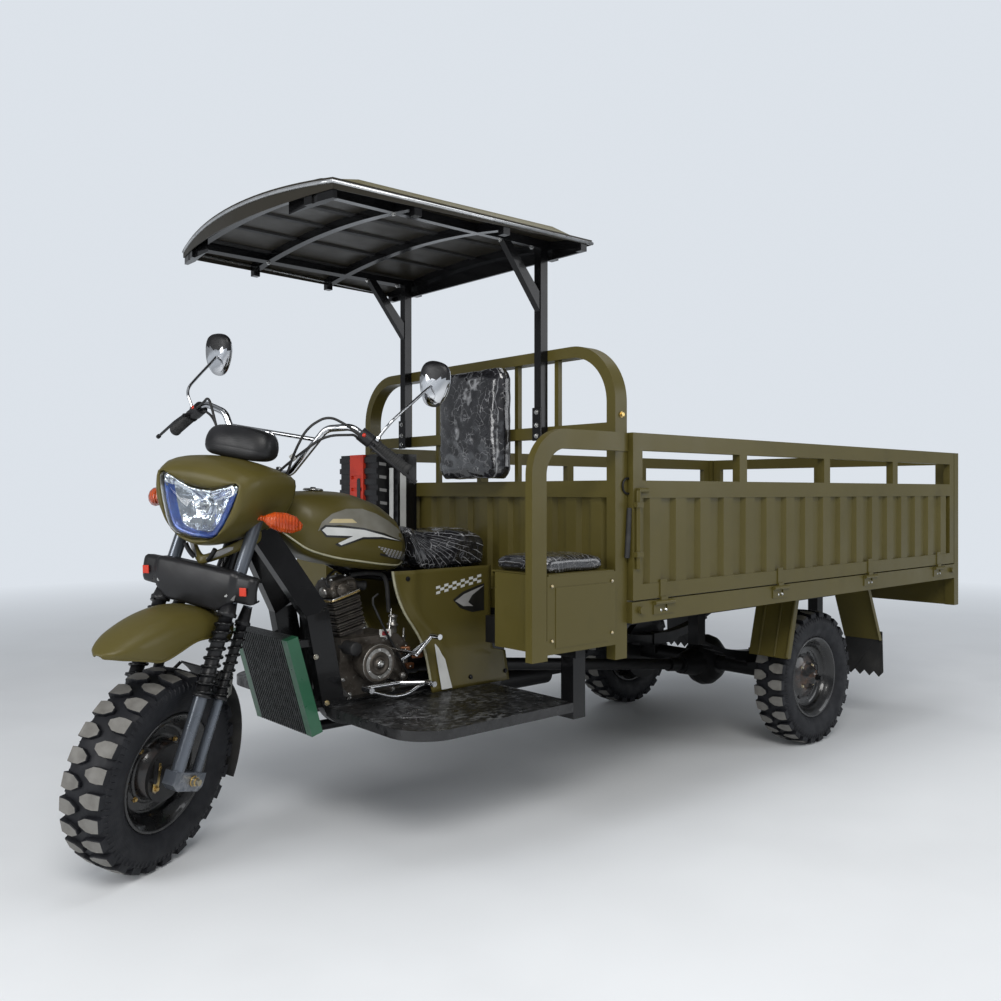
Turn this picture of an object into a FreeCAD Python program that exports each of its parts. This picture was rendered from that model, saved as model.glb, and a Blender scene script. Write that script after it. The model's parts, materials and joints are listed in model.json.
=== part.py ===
import FreeCAD, Part
import math
import os

# Cargo motor tricycle: a motorcycle front end and engine, a canopy over the
# rider, and an open steel load bed with fold-down gates on a live rear axle.
# Millimetres and degrees. +X is forward, +Y is left, +Z is up.
# Everything is placed from the ground point under the rear axle, and the
# finished pieces are moved so that the origin lies under the middle.
# Names ending in share or shares are parts of the size that they follow.

V = FreeCAD.Vector
ORIGIN = V(0, 0, 0)
AHEAD = V(1, 0, 0)
LEFT = V(0, 1, 0)
UP = V(0, 0, 1)

# Driving dimensions
wheelbase = 2637
origin_to_rear_axle = 912
tyre_radius = 283
tyre_width = 142
rear_track = 1026
rim_radius = 158
bed_front = 1385
bed_rear = -1030
bed_width = 1465
sill_bottom = 658
sill_height = 67
gate_top = 1264
hoop_top = 1554
canopy_edge_top = 1922
rake_angle = 19
steer_rest_angle = 30
fork_setback = 42

# Clearances and stock
seam = 0.3
running_gap = 6
overrun = 20
sheet = 2
plate = 4
tube_wall = 3

half_bed = bed_width / 2
sill_top = sill_bottom + sill_height
rake = math.radians(rake_angle)
steer_rest = math.radians(steer_rest_angle)


def block(x0, x1, y0, y1, z0, z1):
    corner = V(min(x0, x1), min(y0, y1), min(z0, z1))
    return Part.makeBox(abs(x1 - x0), abs(y1 - y0), abs(z1 - z0), corner)


def centred_block(centre, length, width, height):
    corner = centre - V(length / 2, width / 2, height / 2)
    return Part.makeBox(length, width, height, corner)


def rod(start, end, radius):
    along = end - start
    return Part.makeCylinder(radius, along.Length, start, along)


def pipe(start, end, outer, inner):
    return rod(start, end, outer).cut(rod(start, end, inner))


def mirrored(shape):
    return shape.mirror(ORIGIN, LEFT)


def pair(shape):
    return Part.makeCompound([shape, mirrored(shape)])


def moved(shape, offset):
    placed = shape.copy()
    placed.translate(offset)
    return placed


def fused(shapes):
    whole = shapes[0].multiFuse(shapes[1:]) if len(shapes) > 1 else shapes[0]
    return whole.removeSplitter()


def prism(points, along):
    outline = Part.makePolygon(points + [points[0]])
    return Part.Face(outline).extrude(along)


def side_prism(outline, y0, y1):
    """Extrudes an outline of (x, z) points across the vehicle."""
    points = [V(x, y0, z) for x, z in outline]
    return prism(points, V(0, y1 - y0, 0))


def plan_prism(outline, z0, z1):
    """Extrudes an outline of (x, y) points upward."""
    points = [V(x, y, z0) for x, y in outline]
    return prism(points, V(0, 0, z1 - z0))


def front_prism(outline, x0, x1):
    """Extrudes an outline of (y, z) points along the vehicle."""
    points = [V(x0, y, z) for y, z in outline]
    return prism(points, V(x1 - x0, 0, 0))


def scaled_outline(shares, x0, length, z0, height):
    """Turns a table of shares into points of a box's real size."""
    return [(x0 + length * a, z0 + height * b) for a, b in shares]


def both_sides(half):
    """Closes a half outline of (place, across) points with its mirror image."""
    return half + [(x, -y) for x, y in reversed(half)]


def bent_path(points, bend):
    """A wire of straight runs joined by arcs of the given bend radius."""
    edges = []
    start = points[0]
    for before, corner, after in zip(points, points[1:], points[2:]):
        arriving = (corner - before).normalize()
        leaving = (after - corner).normalize()
        turn = arriving.getAngle(leaving)
        setback = bend * math.tan(turn / 2)
        first = corner - arriving * setback
        last = corner + leaving * setback
        inward = (leaving - arriving).normalize()
        middle = corner + inward * (bend / math.cos(turn / 2) - bend)
        edges.append(Part.makeLine(start, first))
        edges.append(Part.Arc(first, middle, last).toShape())
        start = last
    edges.append(Part.makeLine(start, points[-1]))
    return Part.Wire(edges)


def round_bar(points, bend, radius):
    path = bent_path(points, bend)
    heading = points[1] - points[0]
    section = Part.Wire(Part.makeCircle(radius, points[0], heading))
    return path.makePipeShell([section], True, False)


def flat_bar(points, bend, side, wide, deep):
    """A rectangular tube: wide along the given side, deep across it."""
    path = bent_path(points, bend)
    heading = (points[1] - points[0]).normalize()
    across = side * (wide / 2)
    over = heading.cross(side).normalize() * (deep / 2)
    corners = [across + over, over - across, (across + over) * -1, across - over]
    outline = [points[0] + corner for corner in corners]
    section = Part.makePolygon(outline + [outline[0]])
    return path.makePipeShell([section], True, False)


def revolved(profile, centre, axis):
    """Turns an outline of (radius, offset) points about an axis through centre."""
    reach = axis.cross(UP)
    reach = reach if reach.Length > 0 else LEFT
    reach = reach.normalize()
    points = [centre + reach * r + axis * o for r, o in profile]
    outline = Part.makePolygon(points + [points[0]])
    return Part.Face(outline).revolve(centre, axis)


def loft(sections, ruled):
    wires = [Part.makePolygon(section + [section[0]]) for section in sections]
    return Part.makeLoft(wires, True, ruled)


# Tyre, built about the origin with the axle along Y
lug_depth = 13
lug_count = 22
lug_length = 46
lug_inner = 4
lug_outer = 66
lug_shoulder_drop = 9
tread_half_width = 60
tread_crown = 4
bead_half_width = 49.7
rim_thickness = 5
rim_flange = 12
bulge_share = 0.55


def tyre():
    """A carcass turned from its section, with two staggered rows of lugs."""
    base = tyre_radius - lug_depth
    flange_top = rim_radius + rim_flange + seam
    bulge = flange_top + (base - flange_top) * bulge_share
    side = [(rim_radius + seam, bead_half_width), (flange_top, bead_half_width),
            (bulge, tyre_width / 2), (base - tread_crown * 2, tread_half_width),
            (base, tread_half_width / 2)]
    carcass = revolved(both_sides(side), ORIGIN, LEFT)
    lugs = []
    step = 360 / lug_count
    for index in range(lug_count):
        for hand, turn in ((1, 0), (-1, step / 2)):
            lug = tread_lug(hand)
            lug.rotate(ORIGIN, LEFT, index * step + turn)
            lugs.append(lug)
    return carcass.multiFuse(lugs)


def tread_lug(hand):
    """One block of the tread, its top corners on the tyre's outer radius."""
    root = tyre_radius - lug_depth - lug_shoulder_drop
    top = math.sqrt(tyre_radius ** 2 - (lug_length / 2) ** 2)
    outline = [(lug_inner, root), (lug_outer, root), (lug_outer, top - lug_shoulder_drop),
               (lug_outer - lug_shoulder_drop, top), (lug_inner, top)]
    points = [V(-lug_length / 2, y * hand, z) for y, z in outline]
    return prism(points, V(lug_length, 0, 0))


# Disc rim and hub
rim_well_radius = 132
rim_half_width = 50
hub_radius = 48
hub_half_width = 62
disc_thickness = 7
disc_hole_radius = 15
disc_hole_count = 8
axle_radius = 9


def rim(disc_offset):
    """A split rim: barrel with flanges, pierced disc and hub."""
    inner = rim_half_width
    outer = rim_half_width + rim_thickness
    shelf = inner - rim_thickness * 2
    well = rim_well_radius
    half = [(well, rim_half_width / 2), (rim_radius, shelf), (rim_radius, inner),
            (rim_radius + rim_flange, inner), (rim_radius + rim_flange, outer),
            (rim_radius - rim_thickness, outer), (rim_radius - rim_thickness, shelf),
            (well - rim_thickness, rim_half_width / 2)]
    barrel = revolved(half + [(r, -y) for r, y in reversed(half)], ORIGIN, LEFT)
    disc = pipe(LEFT * (disc_offset - disc_thickness), LEFT * disc_offset,
                well - rim_thickness / 2, axle_radius + seam)
    hole_ring = (hub_radius + well) / 2
    for index in range(disc_hole_count):
        angle = 2 * math.pi * index / disc_hole_count
        centre = V(hole_ring * math.cos(angle), disc_offset, hole_ring * math.sin(angle))
        disc = disc.cut(rod(centre - LEFT * (disc_thickness * 2), centre + LEFT * disc_thickness,
                            disc_hole_radius))
    hub = pipe(LEFT * -hub_half_width, LEFT * hub_half_width, hub_radius, axle_radius + seam)
    return fused([barrel, disc, hub])


# Head geometry: the front hub lies a little ahead of the leaning steering axis
fork_up = V(-math.sin(rake), 0, math.cos(rake))
fork_ahead = V(math.cos(rake), 0, math.sin(rake))
turned_lean = math.sin(steer_rest) * math.sin(rake)
turned_upright = math.sqrt(1 - turned_lean ** 2)
turned_depth = max(
    tyre_radius * turned_upright + (lug_outer - lug_shoulder_drop) * turned_lean,
    (tyre_radius - lug_shoulder_drop) * turned_upright + lug_outer * turned_lean,
)
head_foot_z = turned_depth - fork_setback * fork_ahead.z * math.cos(steer_rest)
hub = V(wheelbase, 0, head_foot_z + fork_setback * fork_ahead.z)
head_foot = hub - fork_ahead * fork_setback


def fork(along, ahead, across):
    """A point by its place along, ahead of and across the fork line."""
    return hub + fork_up * along + fork_ahead * ahead + LEFT * across


def steered(shape):
    turned = shape.copy()
    turned.rotate(head_foot, fork_up, steer_rest_angle)
    return turned


def on_fork(shape):
    """Moves a shape built with Z up the fork line and X ahead to its place."""
    placed = shape.copy()
    placed.rotate(ORIGIN, LEFT, -rake_angle)
    placed.translate(hub)
    return placed


# Fork: on each side a main leg ahead and a slim leg behind, joined at the lug
leg_across = 118
main_leg_ahead = 57
rear_leg_ahead = -33
main_tube_radius = 19
rear_tube_radius = 14
lug_top = 22
lug_bottom = -30
lug_lip = 8
spring_bottom = 232
spring_top = 467
rear_spring_top = 455
spring_radius = 28
rear_spring_radius = 22
spring_turns = 8
spring_waist_share = 0.8
lower_clamp_bottom = 505
clamp_thickness = 24
upper_clamp_bottom = 825
clamp_side = 36
stem_radius = 14
head_tube_radius = 30
lower_clamp_top = lower_clamp_bottom + clamp_thickness
upper_clamp_top = upper_clamp_bottom + clamp_thickness


def spring_coil(ahead, across, top, radius, core):
    """A close coil, as turns of a saw-tooth section round its tube."""
    pitch = (top - spring_bottom) / spring_turns
    profile = [(core, 0)]
    for turn in range(spring_turns):
        profile.append((radius * spring_waist_share, turn * pitch))
        profile.append((radius, turn * pitch + pitch / 2))
    profile.append((radius * spring_waist_share, spring_turns * pitch))
    profile.append((core, spring_turns * pitch))
    coil = revolved(profile, ORIGIN, UP)
    coil.translate(V(ahead, across, spring_bottom))
    return on_fork(coil)


def fork_lug(side):
    """Forged end that joins both legs and holds the axle."""
    inner = leg_across - main_tube_radius
    outer = leg_across + main_tube_radius
    back = rear_leg_ahead - rear_tube_radius - lug_lip
    front = main_leg_ahead + main_tube_radius + lug_lip
    waist = lug_bottom / 2
    outline = [(back + lug_lip * 2, lug_bottom), (main_leg_ahead, lug_bottom), (front, waist),
               (front, lug_top), (back, lug_top), (back, waist)]
    body = side_prism(outline, inner * side, outer * side)
    bore = rod(LEFT * (inner - overrun) * side, LEFT * (outer + overrun) * side,
               axle_radius + seam)
    return on_fork(body.cut(bore))


def leg_tube(side, ahead, radius, top):
    across = leg_across * side
    return rod(fork(lug_top, ahead, across), fork(top, ahead, across), radius)


def fork_legs():
    legs = []
    for side in (1, -1):
        main = leg_tube(side, main_leg_ahead, main_tube_radius, upper_clamp_top)
        rear = leg_tube(side, rear_leg_ahead, rear_tube_radius, lower_clamp_bottom)
        legs.append(fused([fork_lug(side), main, rear]))
    return Part.makeCompound(legs)


def fork_springs():
    """Four coils, and the dust cones that close the main ones under the crown."""
    pieces = []
    rise = lower_clamp_bottom - spring_top
    for side in (1, -1):
        across = leg_across * side
        coil = spring_coil(main_leg_ahead, across, spring_top, spring_radius,
                           main_tube_radius + seam)
        cone = Part.makeCone(spring_radius, main_tube_radius + plate, rise)
        cone = cone.cut(rod(ORIGIN, UP * rise, main_tube_radius + seam))
        cone.translate(V(main_leg_ahead, across, spring_top))
        pieces.append(fused([coil, on_fork(cone)]))
        pieces.append(spring_coil(rear_leg_ahead, across, rear_spring_top, rear_spring_radius,
                                  rear_tube_radius + seam))
    return Part.makeCompound(pieces)


def clamp_plate(bottom, top, bores):
    """Yoke plate that holds the legs ahead of the steering stem."""
    back = -fork_setback - clamp_side
    edge = leg_across + main_tube_radius + lug_lip
    front = main_leg_ahead + main_tube_radius + lug_lip
    rear = main_leg_ahead - main_tube_radius - lug_lip
    half = [(back, clamp_side / 2), (-fork_setback, clamp_side), (rear, edge), (front, edge),
            (front, edge - clamp_side * 2), (rear, clamp_side)]
    body = plan_prism(both_sides(half), bottom, top)
    for ahead, across, radius in bores:
        body = body.cut(rod(V(ahead, across, bottom - overrun), V(ahead, across, top + overrun),
                            radius + seam))
    return on_fork(body)


leg_bores = [(main_leg_ahead, leg_across * side, main_tube_radius) for side in (1, -1)]


def steering_crown():
    lower = clamp_plate(lower_clamp_bottom, lower_clamp_top, leg_bores)
    stem = rod(fork(lower_clamp_bottom, -fork_setback, 0),
               fork(upper_clamp_top + seam, -fork_setback, 0), stem_radius)
    return fused([lower, stem])


# Handlebar
bar_radius = 11
bar_bend = 45
bar_middle_x = 2252
bar_middle_z = 1140
bar_straight = 85
bar_rise = 160
bar_shoulder = 188
bar_shoulder_x = 2240
bar_peak_rise = 178
bar_peak = 272
bar_peak_x = 2232
bar_end_x = 2158
bar_end = 442
bar_end_rise = 68
crossbar_share = 0.76
crossbar_radius = 7
riser_across = 45
riser_radius = 15
grip_radius = 17
grip_length = 122
grip_lip = 3
bar_points = [
    V(bar_middle_x, 0, bar_middle_z),
    V(bar_middle_x, bar_straight, bar_middle_z),
    V(bar_shoulder_x, bar_shoulder, bar_middle_z + bar_rise),
    V(bar_peak_x, bar_peak, bar_middle_z + bar_peak_rise),
    V(bar_end_x, bar_end, bar_middle_z + bar_end_rise),
]
bar_tip = bar_points[-1]
grip_run = (bar_tip - bar_points[-2]).normalize()
grip_start = bar_tip - grip_run * grip_length


def upper_clamp():
    """Top yoke with the two risers that carry the handlebar."""
    bores = leg_bores + [(-fork_setback, 0, stem_radius)]
    yoke = clamp_plate(upper_clamp_bottom, upper_clamp_top, bores)
    pieces = [yoke]
    for side in (1, -1):
        foot = fork(upper_clamp_bottom + clamp_thickness / 2, -fork_setback,
                    riser_across * side)
        head = V(bar_middle_x, riser_across * side, bar_middle_z)
        reach = (head - foot).normalize()
        pieces.append(rod(foot, head - reach * (bar_radius + seam), riser_radius))
    return fused(pieces)


def handlebar():
    half = round_bar(bar_points, bar_bend, bar_radius)
    low = bar_points[1]
    end = low + (bar_points[2] - low) * crossbar_share
    cross = rod(end, V(end.x, -end.y, end.z), crossbar_radius)
    return fused([half, mirrored(half), cross])


# Hand controls: grips, switch blocks, lever perches and levers
switch_length = 42
switch_width = 44
lever_thickness = 9
lever_depth = 14
lever_length = 165
lever_spread = 62
perch_width = 20
perch_radius = 16


def hand_control():
    """Left grip, switch block and lever; the right side is its mirror."""
    sleeve = pipe(grip_start, bar_tip + grip_run * grip_lip, grip_radius, bar_radius + seam)
    switch_foot = grip_start - grip_run * (switch_length + perch_width)
    switch = pipe(switch_foot, grip_start - grip_run * perch_width, switch_width / 2,
                  bar_radius + seam)
    perch = pipe(grip_start - grip_run * perch_width, grip_start, perch_radius,
                 bar_radius + seam)
    ahead = AHEAD - grip_run * AHEAD.dot(grip_run)
    ahead.normalize()
    post = grip_start - grip_run * (perch_width / 2)
    pivot = post + ahead * (lever_spread * lever_pivot_share)
    arm = rod(post + ahead * (bar_radius + seam), pivot, lever_depth / 2)
    tip = pivot + grip_run * lever_length + ahead * (lever_spread * lever_tip_share)
    knee = pivot + grip_run * (lever_length * lever_knee_share) + ahead * (
        lever_spread * lever_knee_out_share)
    lever = round_bar([pivot, knee, tip], lever_bend, lever_thickness / 2)
    end = rod(tip, tip + grip_run * lever_thickness, lever_thickness * lever_ball_share)
    return fused([fused([sleeve, switch, perch]), fused([arm, lever, end])])


lever_pivot_share = 0.62
lever_tip_share = 0.1
lever_knee_share = 0.3
lever_knee_out_share = 0.12
lever_ball_share = 0.8
lever_bend = 60

# Mirrors
mirror_width = 105
mirror_height = 150
mirror_depth = 16
mirror_corner = 30
mirror_stem_radius = 5
mirror_bend = 25
mirror_knee_out = 38
mirror_knee_up = 60
mirror_knee_back = 2
mirror_out = 76
mirror_up = 196
mirror_back = 190


def mirror():
    """Rounded mirror head on a bent stem that stands on the lever perch."""
    upright = (UP - grip_run * UP.dot(grip_run)).normalize()
    foot = grip_start - grip_run * (perch_width / 2) + upright * (perch_radius + seam)
    knee = foot + V(-mirror_knee_back, mirror_knee_out, mirror_knee_up)
    centre = foot + V(-mirror_back, mirror_out, mirror_up)
    stem = round_bar([foot, knee, centre], mirror_bend, mirror_stem_radius)
    head = centred_block(centre, mirror_depth, mirror_width, mirror_height)
    corners = [edge for edge in head.Edges if edge.BoundBox.XLength > mirror_depth / 2]
    head = head.makeFillet(mirror_corner, corners)
    return fused([stem, head])


# Front axle and brake
brake_drum_radius = 82
brake_drum_inner = -5
brake_drum_outer = 42
brake_plate_thickness = 10
brake_arm_length = 62
brake_arm_width = 14
axle_boss_radius = 20
axle_nut_radius = 13
axle_nut_thickness = 12


def front_rim():
    """The rim with the brake drum, open on the left for the brake plate."""
    wheel = rim(brake_drum_inner)
    drum = pipe(LEFT * brake_drum_inner, LEFT * brake_drum_outer, brake_drum_radius,
                axle_radius + seam)
    spare = rod(LEFT * brake_drum_outer, LEFT * (hub_half_width + overrun), brake_drum_radius)
    return moved(fused([wheel, drum]).cut(spare), hub)


def front_brake_plate():
    inner = brake_drum_outer + seam
    outer = inner + brake_plate_thickness
    end = leg_across - main_tube_radius - seam
    disc = rod(LEFT * inner, LEFT * outer, brake_drum_radius)
    boss = rod(LEFT * outer, LEFT * end, axle_boss_radius)
    arm_outer = outer + brake_arm_width
    spindle_x = brake_drum_radius - brake_arm_width
    spindle = rod(V(spindle_x, outer, 0), V(spindle_x, arm_outer, 0), brake_arm_width / 2)
    arm = block(spindle_x - brake_arm_width / 2, spindle_x + brake_arm_width / 2,
                arm_outer - plate, arm_outer, 0, brake_arm_length)
    whole = fused([disc, boss, spindle, arm])
    return moved(whole.cut(rod(ORIGIN, LEFT * end, axle_radius + seam)), hub)


def front_axle():
    end = leg_across + main_tube_radius + seam
    tip = end + axle_nut_thickness * 2
    shaft = rod(LEFT * -tip, LEFT * tip, axle_radius)
    nuts = [rod(LEFT * (end * side), LEFT * ((end + axle_nut_thickness) * side),
                axle_nut_radius) for side in (1, -1)]
    spacer = rod(LEFT * -(hub_half_width + seam), LEFT * -(leg_across - main_tube_radius - seam),
                 axle_boss_radius)
    return moved(fused([shaft, spacer] + nuts), hub)


def fork_space():
    """Room of the legs, springs and lower yoke, for what fits round them."""
    pieces = [clamp_plate(lower_clamp_bottom - seam, lower_clamp_top + seam, [])]
    for side in (1, -1):
        across = leg_across * side
        for ahead, tube, coil in ((main_leg_ahead, main_tube_radius, spring_radius),
                                  (rear_leg_ahead, rear_tube_radius, rear_spring_radius)):
            pieces.append(rod(fork(lug_bottom, ahead, across),
                              fork(upper_clamp_top, ahead, across), tube + seam))
            pieces.append(rod(fork(spring_bottom - plate, ahead, across),
                              fork(lower_clamp_bottom, ahead, across), coil + plate))
    return pieces


# Front mudguard and flap
guard_radius = 468
guard_half_width = 88
guard_skirt = 94
guard_sheet = 3
guard_front_angle = 56
guard_back_angle = 116
guard_shares = [(0.0, 0.3, 0.22), (0.1, 0.66, 0.5), (0.27, 0.95, 1.0), (0.62, 1.0, 0.8),
                (1.0, 0.98, 0.74)]
guard_section_shares = [(1.0, 1.0), (0.93, 0.42), (0.72, 0.14), (0.38, 0.03), (0.0, 0.0)]
guard_stay_wide = 30
flap_radius = 306
flap_half_width = 72
flap_top_angle = 122
flap_bottom_angle = 200
flap_thickness = 4
flap_arm_along = 205


def guard_section(angle, half, skirt, inset):
    """Points across the mudguard at an angle from straight ahead of the hub."""
    turn = math.radians(angle)
    points = []
    for hand, shares in ((1, guard_section_shares), (-1, guard_section_shares[-2::-1])):
        for across, drop in shares:
            r = guard_radius - inset - (skirt - inset) * drop
            points.append(V(r * math.cos(turn), (half - inset) * across * hand,
                            r * math.sin(turn)))
    return points


def front_mudguard():
    """Pressed guard whose sides narrow to the nose, hung on the lower crown."""
    sections = []
    for share, width_share, skirt_share in guard_shares:
        angle = guard_front_angle + (guard_back_angle - guard_front_angle) * share
        half = guard_half_width * width_share
        skirt = guard_skirt * skirt_share
        outer = guard_section(angle, half, skirt, 0)
        inner = guard_section(angle, half, skirt, guard_sheet)
        sections.append(outer + inner[::-1])
    shell = moved(loft(sections, False), hub)
    foot = fork(guard_radius - guard_sheet, 0, 0)
    head = fork(lower_clamp_bottom - seam, 0, 0)
    stay = flat_bar([foot, head], 0, LEFT, guard_stay_wide * 2, guard_stay_wide)
    return fused([shell, stay])


def front_flap():
    """Rubber flap behind the front tyre, held by two arms to the rear legs."""
    outer = flap_radius + flap_thickness
    section = prism_face([(flap_radius, -flap_half_width), (outer, -flap_half_width),
                          (outer, flap_half_width), (flap_radius, flap_half_width)])
    section.rotate(ORIGIN, LEFT, -flap_top_angle)
    flap = section.revolve(ORIGIN, LEFT, flap_top_angle - flap_bottom_angle)
    arms = []
    turn = math.radians(flap_top_angle)
    for side in (1, -1):
        foot = V(flap_radius * math.cos(turn), flap_half_width * side, flap_radius * math.sin(turn))
        leg = fork(flap_arm_along, rear_leg_ahead - rear_tube_radius - seam, leg_across * side)
        arms.append(rod(foot, leg - hub, flap_thickness))
    return moved(fused([flap] + arms), hub).cut(fused(fork_space()))


def prism_face(outline):
    """A flat face through (radius, across) points, ready to be turned."""
    points = [V(x, y, 0) for x, y in outline]
    return Part.Face(Part.makePolygon(points + [points[0]]))


# Fork guard: a plastic shield across the springs, below the headlamp
shield_back = 2498
shield_half_width = 198
shield_bottom = 755
shield_height = 118
shield_thickness = 34
shield_wall = 6
shield_shares = [(1.0, 0.42), (0.95, 0.95), (0.86, 1.0), (0.3, 0.94), (-0.3, 0.94),
                 (-0.86, 1.0), (-0.95, 0.95), (-1.0, 0.42), (-0.86, 0.28), (-0.7, 0.24),
                 (-0.4, 0.02), (0.0, 0.0), (0.4, 0.02), (0.7, 0.24), (0.86, 0.28)]
reflector_width = 26
reflector_height = 22
reflector_share = 0.55


def fork_guard():
    """A shell open to the rear, with a reflector pad at each end."""
    outline = [(shield_half_width * a, shield_bottom + shield_height * b)
               for a, b in shield_shares]
    shell = front_prism(outline, shield_back, shield_back + shield_thickness)
    inner = front_prism([(y * (1 - shield_wall / shield_half_width),
                          z + (shield_bottom + shield_height / 2 - z) * shield_wall
                          / (shield_height / 2)) for y, z in outline],
                        shield_back - overrun, shield_back + shield_thickness - shield_wall)
    pads = [centred_block(V(shield_back + shield_thickness, (shield_half_width
                            - reflector_width) * side, shield_bottom
                            + shield_height * reflector_share),
                          plate, reflector_width, reflector_height) for side in (1, -1)]
    brackets = []
    for side in (1, -1):
        y = leg_across * side
        z = shield_bottom + shield_height / 2
        brackets.append(block(leg_front_x(z) + seam, shield_back + shield_thickness - shield_wall,
                              y - reflector_width / 2, y + reflector_width / 2,
                              z - reflector_height, z + reflector_height))
    return fused([shell.cut(inner)] + pads + brackets).cut(fused(fork_space()))


def leg_front_x(z):
    """The foremost place of a main leg or its spring at a height."""
    along = (z - hub.z - fork_ahead.z * main_leg_ahead) / fork_up.z
    centre = fork(along, main_leg_ahead, 0)
    return centre.x + spring_radius / fork_ahead.x


# Headlamp fairing: five sections from the rider's side to the nose
fairing_back = 2335
fairing_length = 245
fairing_half_width = 168
fairing_bottom = 872
fairing_height = 308
fairing_wall = 3
fairing_side_shares = [(0.0, 1.0), (0.55, 0.985), (1.0, 0.89), (0.97, 0.6), (0.72, 0.27),
                       (0.34, 0.06), (0.0, 0.0)]
# length, width, top and bottom of each section
fairing_shares = [(0.0, 0.96, 0.945, 0.24), (0.35, 1.0, 1.0, 0.13), (0.72, 0.96, 1.0, 0.0),
                  (0.9, 0.87, 0.93, 0.12), (1.0, 0.8, 0.86, 0.22)]
fairing_bracket_z = 1035
fairing_bracket_width = 24
fairing_bracket_share = 0.955
nose_slot_clearance = 5
fairing_swing_radius = 74


def fairing_section(x, half, low, high):
    height = high - low
    side = [(half * a, low + height * b) for a, b in fairing_side_shares]
    other = [(-y, z) for y, z in side[-2:0:-1]]
    return [V(x, y, z) for y, z in side + other]


def fairing_solid(inset, reach):
    sections = []
    for length_share, width_share, top_share, bottom_share in fairing_shares:
        x = fairing_back + fairing_length * length_share
        if length_share == 0:
            x -= reach
        low = fairing_bottom + fairing_height * bottom_share + inset
        high = fairing_bottom + fairing_height * top_share - inset
        half = fairing_half_width * width_share - inset
        sections.append(fairing_section(x, half, low, high))
    return loft(sections, True)


# Headlamp: a lens that fills the mouth of the fairing
lamp_back = 2548
lamp_length = 68
lamp_half_width = 136
lamp_bottom = 955
lamp_height = 178
lamp_front_share = 0.72
lamp_middle_share = 0.93
centre_share = 0.5
lamp_side_shares = [(0.0, 0.84), (0.45, 0.88), (0.9, 1.0), (1.0, 0.98), (0.8, 0.6),
                    (0.62, 0.25), (0.42, 0.04), (0.0, 0.0)]


def lamp_section(x, scale, grow):
    side = [((lamp_half_width * a) * scale + (grow if a > 0 else 0),
             lamp_bottom + lamp_height / 2 + lamp_height * (b - centre_share) * scale
             + grow * (1 if b > centre_share else -1)) for a, b in lamp_side_shares]
    other = [(-y, z) for y, z in side[-2:0:-1]]
    return [V(x, y, z) for y, z in side + other]


def headlamp():
    sections = [lamp_section(lamp_back, 1, 0),
                lamp_section(lamp_back + lamp_length * centre_share, lamp_middle_share, 0),
                lamp_section(lamp_back + lamp_length, lamp_front_share, 0)]
    return loft(sections, True)


def headlamp_fairing():
    """Thin shell, open to the rider, with the lamp's mouth and leg slots."""
    shell = fairing_solid(0, 0).cut(fairing_solid(fairing_wall, overrun))
    mouth = [lamp_section(lamp_back - overrun, 1, seam), lamp_section(lamp_back, 1, seam),
             lamp_section(lamp_back + lamp_length * centre_share, lamp_middle_share, seam),
             lamp_section(lamp_back + lamp_length, lamp_front_share, seam)]
    shell = shell.cut(loft(mouth, True))
    brackets = []
    for side in (1, -1):
        across = leg_across * side
        shell = shell.cut(rod(fork(lower_clamp_bottom, main_leg_ahead, across),
                              fork(upper_clamp_bottom, main_leg_ahead, across),
                              main_tube_radius + nose_slot_clearance))
        leg_x = fork((fairing_bracket_z - hub.z) / fork_up.z, main_leg_ahead, 0).x
        brackets.append(block(leg_x - fairing_bracket_width / 2,
                              leg_x + fairing_bracket_width / 2,
                              (leg_across + main_tube_radius + seam) * side,
                              fairing_half_width * fairing_bracket_share * side,
                              fairing_bracket_z, fairing_bracket_z + plate))
    swing = rod(fork(spring_top, -fork_setback, 0), fork(upper_clamp_bottom, -fork_setback, 0),
                fairing_swing_radius)
    return fused([shell.cut(swing)] + brackets)


# Instrument pod on top of the fairing
pod_length = 106
pod_half_width = 117
pod_back = 2342
pod_height = 100
pod_squareness = 0.55
pod_points = 20
# height, length and width of each section
pod_shares = [(0.0, 0.84, 0.86), (0.12, 1.0, 0.99), (0.55, 0.98, 1.0), (0.86, 0.8, 0.9),
              (1.0, 0.5, 0.74)]


def round_section(centre, half_length, half_width, squareness, count):
    """Points of a rounded rectangle about a centre, level with the ground."""
    points = []
    for index in range(count):
        angle = 2 * math.pi * (index + 0.5) / count
        along = math.copysign(abs(math.cos(angle)) ** squareness, math.cos(angle))
        across = math.copysign(abs(math.sin(angle)) ** squareness, math.sin(angle))
        points.append(centre + V(half_length * along, half_width * across, 0))
    return points


def instrument_cluster():
    base = V(pod_back + pod_length / 2, 0, fairing_bottom + fairing_height + seam)
    sections = []
    for height_share, length_share, width_share in pod_shares:
        sections.append(round_section(base + UP * (pod_height * height_share),
                                      pod_length / 2 * length_share,
                                      pod_half_width * width_share, pod_squareness,
                                      pod_points))
    return loft(sections, True)


# Turn signals
signal_x = 2475
signal_y = 226
signal_z = 1030
signal_length = 112
signal_half_height = 29
signal_half_width = 23
signal_sweep = 38
signal_droop = 10
signal_points = 12
signal_shares = [(-0.5, 0.35), (-0.3, 0.86), (0.0, 1.0), (0.3, 0.8), (0.5, 0.32)]
signal_stalk_radius = 8


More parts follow.
